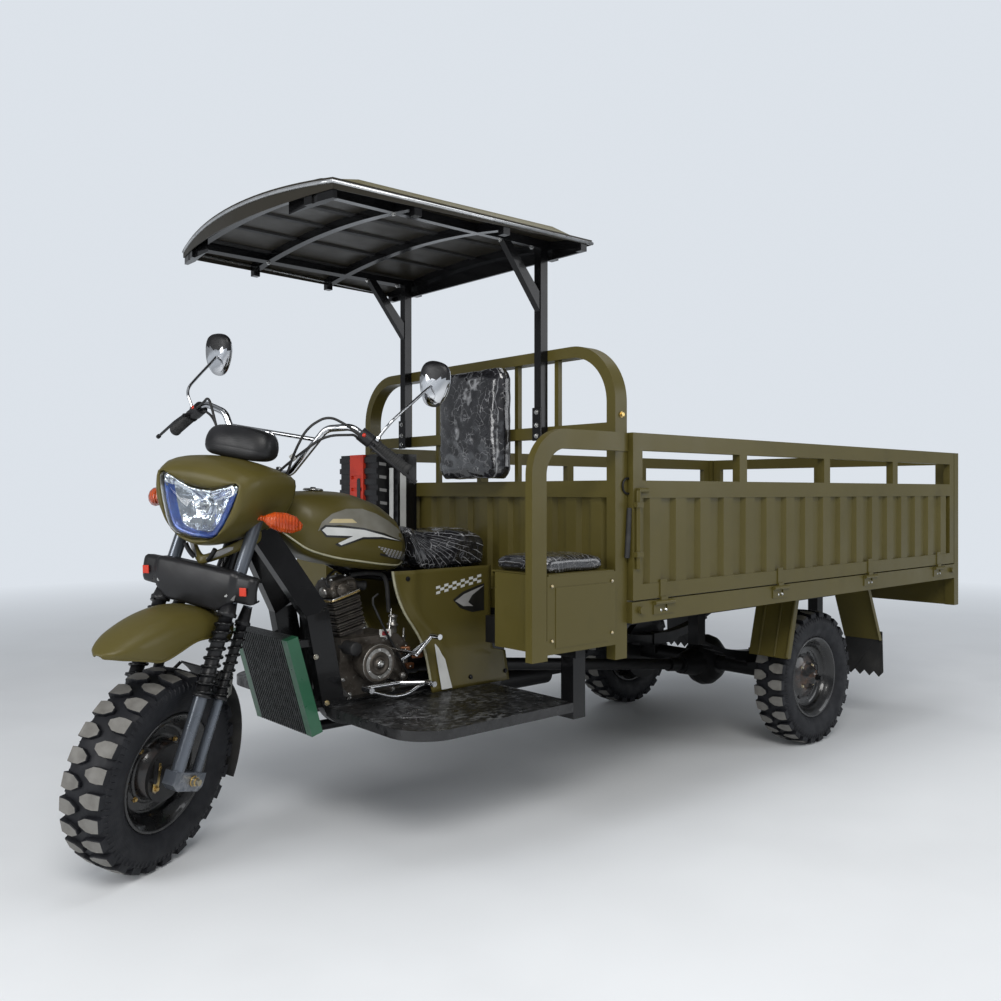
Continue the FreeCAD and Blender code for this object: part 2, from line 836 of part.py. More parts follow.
def turn_signals():
    """Swept-back lens on a short stalk from each side of the fairing."""
    sections = []
    for place, size in signal_shares:
        sections.append([V(place * signal_length, signal_half_width * size * math.cos(a),
                           signal_half_height * size * math.sin(a))
                         for a in [2 * math.pi * i / signal_points
                                   for i in range(signal_points)]])
    lens = loft(sections, True)
    lens.rotate(ORIGIN, LEFT, -signal_droop)
    lens.rotate(ORIGIN, UP, -signal_sweep)
    centre = V(signal_x, signal_y, signal_z)
    lens.translate(centre)
    stalk = rod(V(signal_x, leg_across, signal_z), centre, signal_stalk_radius)
    stalk = stalk.cut(fairing_solid(-seam, 0))
    return pair(fused([lens, stalk]))


cable_radius = 4
cable_arc_share = 0.45
cable_straights = (42, 12)
cable_foot_run = 60
cable_foot_ahead = -26
cable_feet = (116, 78)
cable_middles = [
    [V(2290, 220, 1344), V(2322, 172, 1300), V(2322, 138, 1222)],
    [V(2272, 208, 1282), V(2298, 150, 1222), V(2304, 96, 1168)],
]


def cable_routes():
    """From the inner end of the switch block down to the upper yoke."""
    face = grip_start - grip_run * (switch_length + perch_width + seam)
    ahead = (AHEAD - grip_run * AHEAD.dot(grip_run)).normalize()
    below = grip_run.cross(ahead)
    reach = (bar_radius + switch_width / 2) / 2
    routes = []
    for side, straight, middle, across in zip((ahead, below), cable_straights, cable_middles,
                                              cable_feet):
        start = face + side * reach
        foot = fork(upper_clamp_top + seam, cable_foot_ahead, across)
        routes.append([start, start - grip_run * straight] + middle
                      + [foot + fork_up * cable_foot_run, foot])
    return routes


def cord_path(points):
    """Straight runs joined by the largest arcs that the runs allow."""
    edges = []
    start = points[0]
    for before, corner, after in zip(points, points[1:], points[2:]):
        arriving = (corner - before).normalize()
        leaving = (after - corner).normalize()
        setback = cable_arc_share * min((corner - before).Length, (after - corner).Length)
        bend = setback / math.tan(arriving.getAngle(leaving) / 2)
        first = corner - arriving * setback
        last = corner + leaving * setback
        chord_out = (leaving - arriving).normalize()
        middle = corner + chord_out * (math.hypot(bend, setback) - bend)
        edges.append(Part.makeLine(start, first))
        edges.append(Part.Arc(first, middle, last).toShape())
        start = last
    edges.append(Part.makeLine(start, points[-1]))
    return Part.Wire(edges)


def control_cables():
    cables = []
    for route in cable_routes():
        section = Part.Wire(Part.makeCircle(cable_radius, route[0], route[1] - route[0]))
        cables.append(cord_path(route).makePipeShell([section], True, False))
    return Part.makeCompound(cables + [mirrored(cable) for cable in cables])


# Main frame: twin downtubes and lower rails, backbone, seat posts
frame_across = 105
frame_wide = 40
frame_deep = 78
downtube_top_x = 2318
downtube_top_z = 965
downtube_top_share = 0.35
downtube_knee_x = 2160
downtube_knee_z = 700
downtube_foot_x = 2096
rail_z = 376
rise_bend = 60
lower_rail_rise = 1425
backbone_radius = 28
backbone_bend = 120
backbone_front_x = 2335
backbone_front_z = 1018
backbone_middle_x = 1960
backbone_middle_z = 815
seat_post_x = 1470
seat_post_z = 750
seat_post_wide = 40
tie_x = 1500
tie_wide = 60

# Chassis under the bed
rail_across = 300
rail_wide = 60
rail_deep = 90
rail_front = 1600
outrigger_wide = 40
outrigger_deep = 32
cross_wide = 60
rail_top = sill_bottom
rail_rear = bed_rear + overrun

# Radiator ahead of the downtubes
radiator_left = 165
radiator_right = -195
radiator_tank = 34
radiator_thick = 38
radiator_foot_x = 2166
radiator_foot_z = 340
radiator_height = 312
radiator_lean = 16
radiator_fin_pitch = 13
radiator_fin_depth = 3
radiator_bracket = 22
bracket_shares = (0.2, 0.82)


def radiator_back_x(z):
    return radiator_foot_x + (z - radiator_foot_z) * math.tan(math.radians(radiator_lean))


def downtube_front_x(z):
    """Front face of the lower part of the downtubes at a height."""
    share = (z - rail_z) / (downtube_knee_z - rail_z)
    return downtube_foot_x + (downtube_knee_x - downtube_foot_x) * share + frame_deep / 2


def main_frame():
    tubes = []
    knee = V(downtube_knee_x, 0, downtube_knee_z)
    foot = V(downtube_foot_x, 0, rail_z)
    for side in (1, -1):
        shift = LEFT * (frame_across * side)
        lower = [knee + shift, foot + shift, V(lower_rail_rise, 0, rail_z) + shift,
                 V(lower_rail_rise, 0, rail_top - rail_deep) + shift]
        tubes.append(flat_bar(lower, rise_bend, LEFT, frame_wide, frame_deep))
        head_end = V(downtube_top_x, shift.y * downtube_top_share, downtube_top_z)
        tubes.append(flat_bar([knee + shift, head_end], 0, LEFT, frame_wide, frame_deep))
        tubes.append(block(seat_post_x, seat_post_x + seat_post_wide,
                           (frame_across - frame_wide / 2) * side,
                           (frame_across + frame_wide / 2) * side,
                           rail_z, seat_post_z))
        y0 = (frame_across - frame_wide / 4) * side
        y1 = (frame_across + frame_wide / 4) * side
        for share in bracket_shares:
            z = radiator_foot_z + radiator_height * share
            top = z + radiator_bracket
            tubes.append(side_prism([(downtube_front_x(z) - frame_deep / 2, z),
                                     (radiator_back_x(z) - seam, z),
                                     (radiator_back_x(top) - seam, top),
                                     (downtube_front_x(z) - frame_deep / 2, top)], y0, y1))
    backbone = round_bar([V(backbone_front_x, 0, backbone_front_z),
                          V(backbone_middle_x, 0, backbone_middle_z),
                          V(seat_post_x, 0, seat_post_z)], backbone_bend, backbone_radius)
    head_low = fork(lower_clamp_top + seam, -fork_setback, 0)
    head_high = fork(upper_clamp_bottom - seam, -fork_setback, 0)
    head = rod(head_low, head_high, head_tube_radius)
    bore = rod(fork(lower_clamp_bottom, -fork_setback, 0),
               fork(upper_clamp_top, -fork_setback, 0), stem_radius + seam)
    tie = block(tie_x, tie_x + tie_wide, -frame_across, frame_across,
                rail_z - frame_wide / 2, rail_z + frame_wide / 2)
    saddle = block(seat_post_x, seat_post_x + seat_post_wide, -frame_across, frame_across,
                   seat_post_z - seat_post_wide, seat_post_z)
    return fused(tubes + [backbone, head, tie, saddle]).cut(bore)


def chassis():
    """Ladder of two rails, with outriggers ahead for the lockers."""
    low = rail_top - rail_deep
    pieces = []
    for side in (1, -1):
        pieces.append(block(rail_rear, rail_front, (rail_across - rail_wide / 2) * side,
                            (rail_across + rail_wide / 2) * side, low, rail_top))
        pieces.append(block(rail_front - outrigger_wide, rail_front, rail_across * side,
                            (half_bed - sill_wide) * side, low, locker_bottom))
    for x in (rail_rear, cross_middle_x, bed_front):
        pieces.append(block(x, x + cross_wide, -rail_across, rail_across, low, rail_top))
    return fused(pieces)


cross_middle_x = 700
sill_wide = 40
locker_bottom = rail_top - rail_deep + outrigger_deep


def leaned_radiator(y0, y1):
    tank = block(0, radiator_thick, y0, y1, 0, radiator_height)
    tank.rotate(ORIGIN, LEFT, radiator_lean)
    tank.translate(V(radiator_foot_x, 0, radiator_foot_z))
    return tank


def radiator_core():
    """Core whose front is grooved between rows of fins."""
    y0 = radiator_right + radiator_tank
    y1 = radiator_left - radiator_tank
    line = [(0, y0)]
    count = int((y1 - y0) / radiator_fin_pitch)
    pitch = (y1 - y0) / count
    front = [(radiator_thick, y0)]
    for index in range(count):
        y = y0 + index * pitch
        front += [(radiator_thick, y + pitch / 2), (radiator_thick - radiator_fin_depth,
                                                    y + pitch / 2),
                  (radiator_thick - radiator_fin_depth, y + pitch), (radiator_thick, y + pitch)]
    outline = line + front[:-2] + [(radiator_thick - radiator_fin_depth, y1), (0, y1)]
    core = plan_prism(outline, 0, radiator_height)
    core.rotate(ORIGIN, LEFT, radiator_lean)
    core.translate(V(radiator_foot_x, 0, radiator_foot_z))
    return core


def radiator_tanks():
    inner = (radiator_left - radiator_tank, radiator_right + radiator_tank)
    return Part.makeCompound([leaned_radiator(inner[0], radiator_left),
                              leaned_radiator(radiator_right, inner[1])])


# Fuel tank
tank_front = 2262
tank_length = 467
tank_bottom = 812
tank_height = 267
tank_half_width = 150
tank_side_shares = [(0.0, 1.0), (0.3, 0.985), (0.62, 0.92), (0.88, 0.76), (1.0, 0.54),
                    (0.98, 0.34), (0.84, 0.14), (0.62, 0.02), (0.0, 0.0)]
# place behind the nose, width, bottom and top of each section
tank_shares = [(0.0, 0.24, 0.56, 0.86), (0.05, 0.48, 0.45, 0.94), (0.17, 0.8, 0.25, 0.99),
               (0.35, 0.98, 0.13, 1.0), (0.56, 1.0, 0.06, 0.97), (0.77, 0.92, 0.01, 0.85),
               (0.92, 0.75, 0.0, 0.68), (1.0, 0.52, 0.06, 0.52)]
head_recess_clearance = 22


def backbone_points():
    return [V(backbone_front_x, 0, backbone_front_z), V(backbone_middle_x, 0, backbone_middle_z),
            V(seat_post_x, 0, seat_post_z)]


def backbone_cutter():
    """The backbone and the space below it, grown by the seam."""
    nose, knee, tail = backbone_points()
    bar = round_bar([nose, knee, tail], backbone_bend, backbone_radius + seam)
    low = tank_bottom - tank_height
    below = side_prism([(nose.x, nose.z), (knee.x, knee.z), (tail.x, tail.z), (tail.x, low),
                        (nose.x, low)], -backbone_radius - seam, backbone_radius + seam)
    return fused([bar, below])


def fuel_tank():
    """Teardrop tank, lofted through eight sections, with a tunnel below."""
    sections = []
    for place, width, low_share, high_share in tank_shares:
        x = tank_front - tank_length * place
        low = tank_bottom + tank_height * low_share
        height = tank_height * (high_share - low_share)
        side = [(tank_half_width * width * a, low + height * b) for a, b in tank_side_shares]
        other = [(-y, z) for y, z in side[-2:0:-1]]
        sections.append([V(x, y, z) for y, z in side + other])
    tank = loft(sections, False)
    recess = rod(fork(lower_clamp_bottom, -fork_setback, 0),
                 fork(upper_clamp_top + tank_height, -fork_setback, 0),
                 head_tube_radius + head_recess_clearance)
    return tank.cut(backbone_cutter()).cut(recess)


# Seat and side covers
cover_top = 815
seat_back = 1466
seat_length = 326
seat_height = 140
seat_half_width = 148
seat_shares = [(0.0, 0.0), (0.86, 0.0), (0.93, 0.3), (1.0, 0.98), (0.72, 0.86), (0.38, 0.95),
               (0.04, 0.8), (0.0, 0.7)]
seat_edge_share = 0.8
cover_across = 152
cover_flare = 34
cover_back = 1418
cover_length = 482
cover_bottom = 405
cover_height = 410
cover_thickness = 3
cover_shares = [(0.12, 1.0), (1.0, 1.0), (0.965, 0.86), (0.89, 0.63), (0.75, 0.376),
                (0.705, 0.0), (0.0, 0.0), (0.0, 0.26), (0.12, 0.26)]
cover_waist_share = 0.45
cover_peg_radius = 8


def driver_seat():
    """A padded saddle: narrower at its crown than at its base."""
    outline = scaled_outline(seat_shares, seat_back, seat_length, cover_top + seam,
                             seat_height)
    pad = side_prism(outline, -seat_half_width, seat_half_width)
    low = cover_top + seam - overrun
    rim_z = cover_top + seam + seat_height * seat_edge_share / 2
    top = cover_top + seam + seat_height * 2
    half = [(seat_half_width, low), (seat_half_width, rim_z),
            (seat_half_width * seat_edge_share, top)]
    form = front_prism([(y, z) for y, z in half] + [(-y, z) for y, z in reversed(half)],
                       seat_back - overrun, seat_back + seat_length + overrun)
    return pad.common(form)


def cover_line(z):
    """How far a side cover stands out at a height: it flares to its foot."""
    waist = cover_bottom + cover_height * cover_waist_share
    if z >= waist:
        return cover_across
    return cover_across + cover_flare * (waist - z) / (waist - cover_bottom)


def side_cover():
    """Pressed cover with a flared foot, on two pegs to the seat posts."""
    outline = scaled_outline(cover_shares, cover_back, cover_length, cover_bottom, cover_height)
    slab = side_prism(outline, 0, cover_across + cover_flare * 2)
    heights = [cover_bottom, cover_bottom + cover_height * cover_waist_share, cover_top]
    line = [(cover_line(z) + cover_thickness, z) for z in heights]
    under = [(y - cover_thickness, z) for y, z in reversed(line)]
    skin = front_prism(line + under, cover_back, cover_back + cover_length)
    pegs = []
    post_face = frame_across + frame_wide / 2 + seam
    for share in bracket_shares:
        z = rail_z + frame_deep + (cover_top - rail_z - frame_deep) * share / 2
        x = seat_post_x + seat_post_wide / 2
        pegs.append(rod(V(x, post_face, z), V(x, cover_line(z) + cover_thickness / 2, z),
                        cover_peg_radius))
    return fused([skin.common(slab)] + pegs)


# Engine
case_back = 1790
case_length = 272
case_bottom = 405
case_height = 195
case_shares = [(0.0, 0.2), (0.2, 0.0), (0.8, 0.0), (1.0, 0.3), (0.96, 1.0), (0.16, 1.0),
               (0.0, 0.8)]
engine_cover_x = 1958
engine_cover_z = 523
engine_cover_radius = 62
engine_cover_depth = 80
engine_cover_step = 46
engine_cover_ring = 9
cylinder_x = 1985
cylinder_lean = 13
cylinder_half = 52
fin_inset = 9
fin_count = 8
fin_share = 0.34
barrel_height = 118
head_height = 66
head_bevel = 16


def engine_case():
    """Crankcase with the stepped round cover on its left."""
    inner = frame_across - frame_wide / 2 - seam
    outline = scaled_outline(case_shares, case_back, case_length, case_bottom, case_height)
    case = side_prism(outline, -inner, inner)
    centre = V(engine_cover_x, inner, engine_cover_z)
    top_z = case_bottom + case_height
    neck = rod(centre, centre + LEFT * engine_cover_step, engine_cover_radius - engine_cover_ring)
    cap = rod(centre + LEFT * engine_cover_step, centre + LEFT * engine_cover_depth,
              engine_cover_radius)
    hollow = rod(centre + LEFT * (engine_cover_depth - engine_cover_ring),
                 centre + LEFT * (engine_cover_depth + overrun),
                 engine_cover_radius - engine_cover_ring)
    boss = rod(centre, centre + LEFT * engine_cover_depth, engine_cover_ring * 2)
    clutch = rod(V(engine_cover_x, -inner, engine_cover_z),
                 V(engine_cover_x, -inner - engine_cover_step, engine_cover_z),
                 top_z - engine_cover_z)
    rail_top_z = rail_z + frame_deep / 2 + seam
    rail_space = block(case_back, case_back + case_length, -inner - engine_cover_depth, -inner,
                       case_bottom - overrun, rail_top_z)
    return fused([case, neck, cap.cut(hollow), boss, clutch.cut(rail_space)])


def engine_cylinder():
    """Finned barrel and head, leaning ahead from the top of the case."""
    half = cylinder_half
    core = half - fin_inset
    pieces = [block(-core, core, -core, core, 0, barrel_height + head_height - head_bevel)]
    pitch = barrel_height / fin_count
    for index in range(fin_count):
        z = index * pitch + pitch / 2
        pieces.append(block(-half, half, -half, half, z, z + pitch * fin_share))
    roof = [(-half, barrel_height + pitch), (half, barrel_height + pitch),
            (half, barrel_height + head_height - head_bevel),
            (half - head_bevel, barrel_height + head_height),
            (head_bevel - half, barrel_height + head_height),
            (-half, barrel_height + head_height - head_bevel)]
    pieces.append(side_prism(roof, -core, core))
    pieces.append(block(-core, core, -core, core, -core, 0))
    cylinder = fused(pieces)
    cylinder.rotate(ORIGIN, LEFT, cylinder_lean)
    lift = half * math.sin(math.radians(cylinder_lean))
    below = block(-half * 2, half * 2, -half * 2, half * 2, -half * 2, seam - lift)
    whole = cylinder.cut(below)
    whole.translate(V(cylinder_x, 0, case_bottom + case_height + lift))
    return whole.cut(round_bar(backbone_points(), backbone_bend, backbone_radius + seam))


# Exhaust and propeller shaft
exhaust_radius = 17
exhaust_bend = 48
exhaust_start_x = 2088
exhaust_start_z = 745
exhaust_y = -48
exhaust_low_z = 300
exhaust_front_x = 2112
exhaust_swing_x = 1880
exhaust_muffler_x = 1600
muffler_y = -215
muffler_front = 1330
muffler_rear = 850
muffler_radius = 46
muffler_cone = 70
muffler_tail = 90
hanger_wide = 30
shaft_radius = 24
shaft_start_z = 480
yoke_radius = 40
yoke_length = 60
diff_radius = 118
diff_half_width = 92
diff_nose_length = 190
diff_nose_radius = 44
# place across, radius of the differential case
diff_shares = [(0.0, 1.0), (0.35, 0.94), (0.7, 0.72), (0.92, 0.46)]


def exhaust():
    """Pipe from the head, down between the downtubes and back to the muffler."""
    neck = V(exhaust_front_x, exhaust_y, exhaust_start_z)
    points = [V(exhaust_start_x, exhaust_y, exhaust_start_z), neck,
              V(exhaust_front_x - overrun, exhaust_y, exhaust_low_z),
              V(exhaust_swing_x, exhaust_y, exhaust_low_z),
              V(exhaust_muffler_x, muffler_y, exhaust_low_z),
              V(muffler_front, muffler_y, exhaust_low_z)]
    down = round_bar(points[1:], exhaust_bend, exhaust_radius)
    port = rod(points[0], neck, exhaust_radius)
    elbow = Part.makeSphere(exhaust_radius, neck)
    centre = V(muffler_front, muffler_y, exhaust_low_z)
    cone = Part.makeCone(exhaust_radius, muffler_radius, muffler_cone, centre, AHEAD * -1)
    body = rod(centre - AHEAD * muffler_cone, V(muffler_rear, muffler_y, exhaust_low_z),
               muffler_radius)
    tail = pipe(V(muffler_rear, muffler_y, exhaust_low_z),
                V(muffler_rear - muffler_tail, muffler_y, exhaust_low_z),
                exhaust_radius, exhaust_radius - tube_wall)
    middle = (muffler_front + muffler_rear) / 2
    hanger = block(middle - hanger_wide / 2, middle + hanger_wide / 2,
                   -(rail_across - rail_wide / 2) - plate, -(rail_across - rail_wide / 2),
                   exhaust_low_z, rail_top - rail_deep)
    arm = block(middle - hanger_wide / 2, middle + hanger_wide / 2,
                -(rail_across - rail_wide / 2), muffler_y, exhaust_low_z, exhaust_low_z + plate)
    return fused([down, port, elbow, cone, body, tail, hanger, arm])


def propeller_shaft():
    """Open shaft with a joint at each end, from gearbox to differential."""
    start = V(case_back - seam, 0, shaft_start_z)
    end = V(diff_nose_length + seam, 0, tyre_radius)
    run = (end - start).normalize()
    front_flange = rod(start, start - AHEAD * plate * 3, yoke_radius)
    rear_flange = rod(end, end + AHEAD * plate * 3, yoke_radius)
    tube = rod(start - AHEAD * plate, end + AHEAD * plate, shaft_radius)
    yokes = [rod(start + run * yoke_length / 2, start + run * yoke_length * 3 / 2,
                 shaft_radius + plate * 2),
             rod(end - run * yoke_length * 3 / 2, end - run * yoke_length / 2,
                 shaft_radius + plate * 2)]
    return fused([front_flange, rear_flange, tube] + yokes)


# Foot controls
pedal_radius = 7
toe_peg_radius = 9
toe_peg_length = 45
pedal_y = 200
pedal_heel_y = 250
pedal_front_x = 2040
pedal_back_x = 1835
pedal_z = 460
pedal_pivot_x = 1905
kick_pivot_x = 1862
kick_pivot_z = 552
kick_foot_x = 1802
kick_foot_z = 606
kick_y = 236


def foot_controls():
    """Gear pedal and kick lever on the left, brake pedal on the right."""
    inner = frame_across - frame_wide / 2
    spindle = rod(V(pedal_pivot_x, inner, pedal_z), V(pedal_pivot_x, pedal_y, pedal_z),
                  pedal_radius)
    front = V(pedal_front_x, pedal_y, pedal_z)
    middle = V(pedal_pivot_x, pedal_y, pedal_z)
    back = V(pedal_back_x, pedal_heel_y, pedal_z)
    bar = fused([rod(front, middle, pedal_radius), rod(middle, back, pedal_radius),
                 rod(front, front + LEFT * toe_peg_length, toe_peg_radius),
                 rod(back, back + LEFT * toe_peg_length, toe_peg_radius), spindle])
    kick_root = V(kick_pivot_x, inner, kick_pivot_z)
    kick_knee = V(kick_pivot_x, kick_y, kick_pivot_z)
    kick_end = V(kick_foot_x, kick_y, kick_foot_z)
    kick = fused([rod(kick_root, kick_knee, pedal_radius), rod(kick_knee, kick_end, pedal_radius),
                  rod(kick_end, kick_end + LEFT * toe_peg_length, toe_peg_radius)])
    brake = fused([rod(V(pedal_back_x, -inner, pedal_z), V(pedal_back_x, -pedal_y, pedal_z),
                       pedal_radius),
                   rod(V(pedal_back_x, -pedal_y, pedal_z), V(pedal_front_x, -pedal_y, pedal_z),
                       pedal_radius),
                   rod(V(pedal_front_x, -pedal_y + toe_peg_length / 2, pedal_z),
                       V(pedal_front_x, -pedal_y - toe_peg_length, pedal_z), toe_peg_radius)])
    return Part.makeCompound([bar, kick, brake])


# Footboards and their posts
board_outer = 600
board_front = 2130
board_back = 1515
board_corner = 130
board_top = 405
board_depth = 30
board_sheet = 3
post_wide = 55
post_bottom = 352


def rounded_board(outer, front, back, inner, corner, z0, z1):
    """A plan with one round corner, extruded between two heights."""
    diagonal = corner * math.sqrt(0.5)
    lead = V(front, outer - corner, z0)
    middle = V(front - corner + diagonal, outer - corner + diagonal, z0)
    trail = V(front - corner, outer, z0)
    edges = [Part.makeLine(V(front, inner, z0), lead),
             Part.Arc(lead, middle, trail).toShape(),
             Part.makeLine(trail, V(back, outer, z0)),
             Part.makeLine(V(back, outer, z0), V(back, inner, z0)),
             Part.makeLine(V(back, inner, z0), V(front, inner, z0))]
    return Part.Face(Part.Wire(edges)).extrude(UP * (z1 - z0))


def footboard():
    """Pressed tray turned down at its edges, beside the lower rail."""
    inner = frame_across + frame_wide / 2 + seam
    low = board_top - board_depth
    tray = rounded_board(board_outer, board_front, board_back, inner, board_corner, low,
                         board_top)
    hollow = rounded_board(board_outer - board_sheet, board_front - board_sheet,
                           board_back + board_sheet, inner + board_sheet,
                           board_corner - board_sheet, low - overrun, board_top - board_sheet)
    return tray.cut(hollow)


def board_post():
    """Post from locker to footboard, with the cross bar to the frame."""
    x0 = board_back - post_wide
    post = block(x0, board_back, board_outer - post_wide, board_outer, post_bottom,
                 locker_bottom)
    bar = block(x0, board_back, frame_across + frame_wide / 2 + seam, board_outer - post_wide,
                post_bottom, post_bottom + frame_wide)
    return fused([post, bar])


# Armrest, lockers, lid and passenger cushion
hoop_deep = 55
hoop_wide = 37
hoop_half = 711
arm_wide = 28
arm_deep = 58
arm_front = 1791
arm_bottom = 584
arm_height = 1233
arm_bend = 110
locker_front = 1758
locker_back = 1462
locker_inner = 500
locker_top = 829
panel_relief = 2
panel_margin = 34
lid_margin = 6
lid_thickness = 4
lid_lip = 14
cushion_height = 40
cushion_inner = 478
cushion_outer = 704
cushion_corner = 12
hoop_front = bed_front + hoop_deep


def armrest():
    """Side rail: up from the locker's foot and back to the hoop."""
    y = half_bed - arm_wide / 2
    path = [V(arm_front, y, arm_bottom), V(arm_front, y, arm_height),
            V(hoop_front + seam, y, arm_height)]
    rail = flat_bar(path, arm_bend, LEFT, arm_wide, arm_deep)
    low = block(locker_front, arm_front + arm_deep / 2, y - arm_wide / 2, y + arm_wide / 2,
                arm_bottom, arm_bottom + arm_deep)
    strap = block(bed_front, hoop_front + arm_deep, hoop_half + seam, hoop_half + plate,
                  arm_height - arm_deep / 2, arm_height + arm_deep / 2)
    return fused([rail, low, strap])


def locker():
    """Open-topped box with a raised panel on its outer side."""
    outer_face = half_bed - panel_relief
    outer = block(locker_back, locker_front, locker_inner, outer_face, locker_bottom, locker_top)
    inner = block(locker_back + sheet, locker_front - sheet, locker_inner + sheet,
                  outer_face - sheet, locker_bottom + sheet, locker_top + overrun)
    panel = block(locker_back + panel_margin, locker_front - panel_margin, outer_face, half_bed,
                  locker_bottom + panel_margin / 2, locker_top - panel_margin)
    return fused([outer, panel]).cut(inner)


def locker_lid():
    """Flat lid with a turned-down lip inside, in front and behind."""
    x0 = locker_back + lid_margin
    x1 = locker_front - lid_margin
    low = locker_top + seam
    top = block(x0, x1, cushion_inner, half_bed - panel_relief, low, low + lid_thickness)
    lip = block(x0, x1, cushion_inner, cushion_inner + sheet, low - lid_lip, low)
    return fused([top, lip])


def passenger_cushion():
    base = locker_top + lid_thickness + seam * 2
    pad = block(locker_back + lid_margin * 2, locker_front - lid_margin * 2, cushion_inner,
                cushion_outer, base, base + cushion_height)
    upper = [edge for edge in pad.Edges if edge.BoundBox.ZMin > base + cushion_height / 2]
    return pad.makeFillet(cushion_corner, upper)


# Headboard
hoop_bend = 175
hoop_foot_z = 547
mid_bar_top = 1296
mid_bar_height = 40
panel_rail_top = 1112
panel_rail_height = 54
slat_wide = 18
slat_inner_share = 0.323
slat_outer_share = 0.605
headboard_ribs = 12
headboard_rib_depth = 16
backrest_width = 372
backrest_centre = 66
backrest_bottom = 1114
backrest_top = 1518
backrest_front = 1532
backrest_corner = 20


def headboard():
    """Hoop, rails, slats and pressed panel, welded into one screen."""
    x = bed_front + hoop_deep / 2
    across = hoop_half - hoop_wide / 2
    top = hoop_top - hoop_wide / 2
    path = [V(x, -across, hoop_foot_z), V(x, -across, top), V(x, across, top),
            V(x, across, hoop_foot_z)]
    hoop = flat_bar(path, hoop_bend, AHEAD, hoop_deep, hoop_wide)
    x0 = bed_front + hoop_wide / 2
    inner = hoop_half - hoop_wide
    bars = [block(x0, hoop_front, -inner, inner, z - height, z) for z, height in (
        (mid_bar_top, mid_bar_height), (panel_rail_top, panel_rail_height),
        (sill_top, sill_height))]
    for side in (1, -1):
        for share, low in ((slat_inner_share, panel_rail_top),
                           (slat_outer_share, mid_bar_top)):
            y = hoop_half * share * side
            bars.append(block(x0, x0 + slat_wide, y - slat_wide / 2, y + slat_wide / 2, low,
                              top))
    height = panel_rail_top - panel_rail_height - sill_top
    panel = ribbed_sheet(inner * 2, headboard_ribs, headboard_rib_depth, height)
    panel.rotate(ORIGIN, UP, -90)
    panel.translate(V(x, inner, sill_top))
    return fused([hoop, panel] + bars)


rib_crest_share = 0.42
rib_slope_share = 0.1


def ribbed_sheet(length, ribs, depth, height):
    """A pressed sheet along X with upright trapezoid ribs out along Y."""
    pitch = length / ribs
    crest = pitch * rib_crest_share
    slope = pitch * rib_slope_share
    line = [(0, 0)]
    for index in range(ribs):
        start = index * pitch + (pitch - crest) / 2
        line += [(start - slope, 0), (start, depth), (start + crest, depth),
                 (start + crest + slope, 0)]
    line.append((length, 0))
    back = [(x, y - sheet) for x, y in reversed(line)]
    return plan_prism(line + back, 0, height)


def backrest():
    pad = block(hoop_front + seam, backrest_front, backrest_centre - backrest_width / 2,
                backrest_centre + backrest_width / 2, backrest_bottom, backrest_top)
    front = [edge for edge in pad.Edges if edge.BoundBox.XMin > hoop_front + backrest_corner]
    return pad.makeFillet(backrest_corner, front)


# Canopy
post_x = hoop_front + seam
post_side = 32
post_across = 391
post_foot_z = 1254
roof_rear_half = 560
roof_front_half = 490
roof_front_x = 2385
roof_corner_x = 2331
roof_rear_drop = 16
roof_rear_crown = 45
roof_front_crown = 25
roof_sheet = 3
roof_lip = 16
roof_tube = 25
roof_step_count = 3
roof_tube_shares = (0.02, 0.34, 0.66, 0.93)
brace_foot_z = 1665
brace_top_x = 1660
brace_top_z = 1925


def roof_volume(inset, bottom):
    """The room under the arched roof, drawn in from its outer face."""
    wires = []
    for index in range(roof_step_count + 1):
        share = index / roof_step_count
        x = bed_front + (roof_front_x - bed_front) * share
        half = roof_rear_half + (roof_front_half - roof_rear_half) * share - inset
        edge = canopy_edge_top - roof_rear_drop * (1 - share) - inset
        crown = edge + roof_rear_crown + (roof_front_crown - roof_rear_crown) * share
        arch = Part.Arc(V(x, -half, edge), V(x, 0, crown), V(x, half, edge)).toShape()
        sides = Part.makePolygon([V(x, half, edge), V(x, half, bottom), V(x, -half, bottom),
                                  V(x, -half, edge)])
        wires.append(Part.Wire([arch] + sides.Edges))
    return Part.makeLoft(wires, True, True).common(roof_plan(inset, bottom))


def roof_plan(inset, bottom):
    """Plan of the roof with its front edge in a shallow arc."""
    x0 = bed_front + inset
    half = roof_rear_half + overrun
    corner = V(roof_corner_x - inset, 0, bottom)
    edges = [Part.Arc(corner - LEFT * roof_front_half, V(roof_front_x - inset, 0, bottom),
                      corner + LEFT * roof_front_half).toShape(),
             Part.makePolygon([corner + LEFT * roof_front_half,
                               V(roof_corner_x - inset, half, bottom), V(x0, half, bottom),
                               V(x0, -half, bottom), V(roof_corner_x - inset, -half, bottom),
                               corner - LEFT * roof_front_half])]
    wire = Part.Wire(edges[:1] + edges[1].Edges)
    return Part.Face(wire).extrude(UP * (hoop_top - bed_rear))


def canopy_roof():
    """Thin arched sheet with a lip turned down all round."""
    low = canopy_edge_top - roof_rear_drop - roof_lip
    return roof_volume(0, low).cut(roof_volume(roof_sheet, low - overrun))


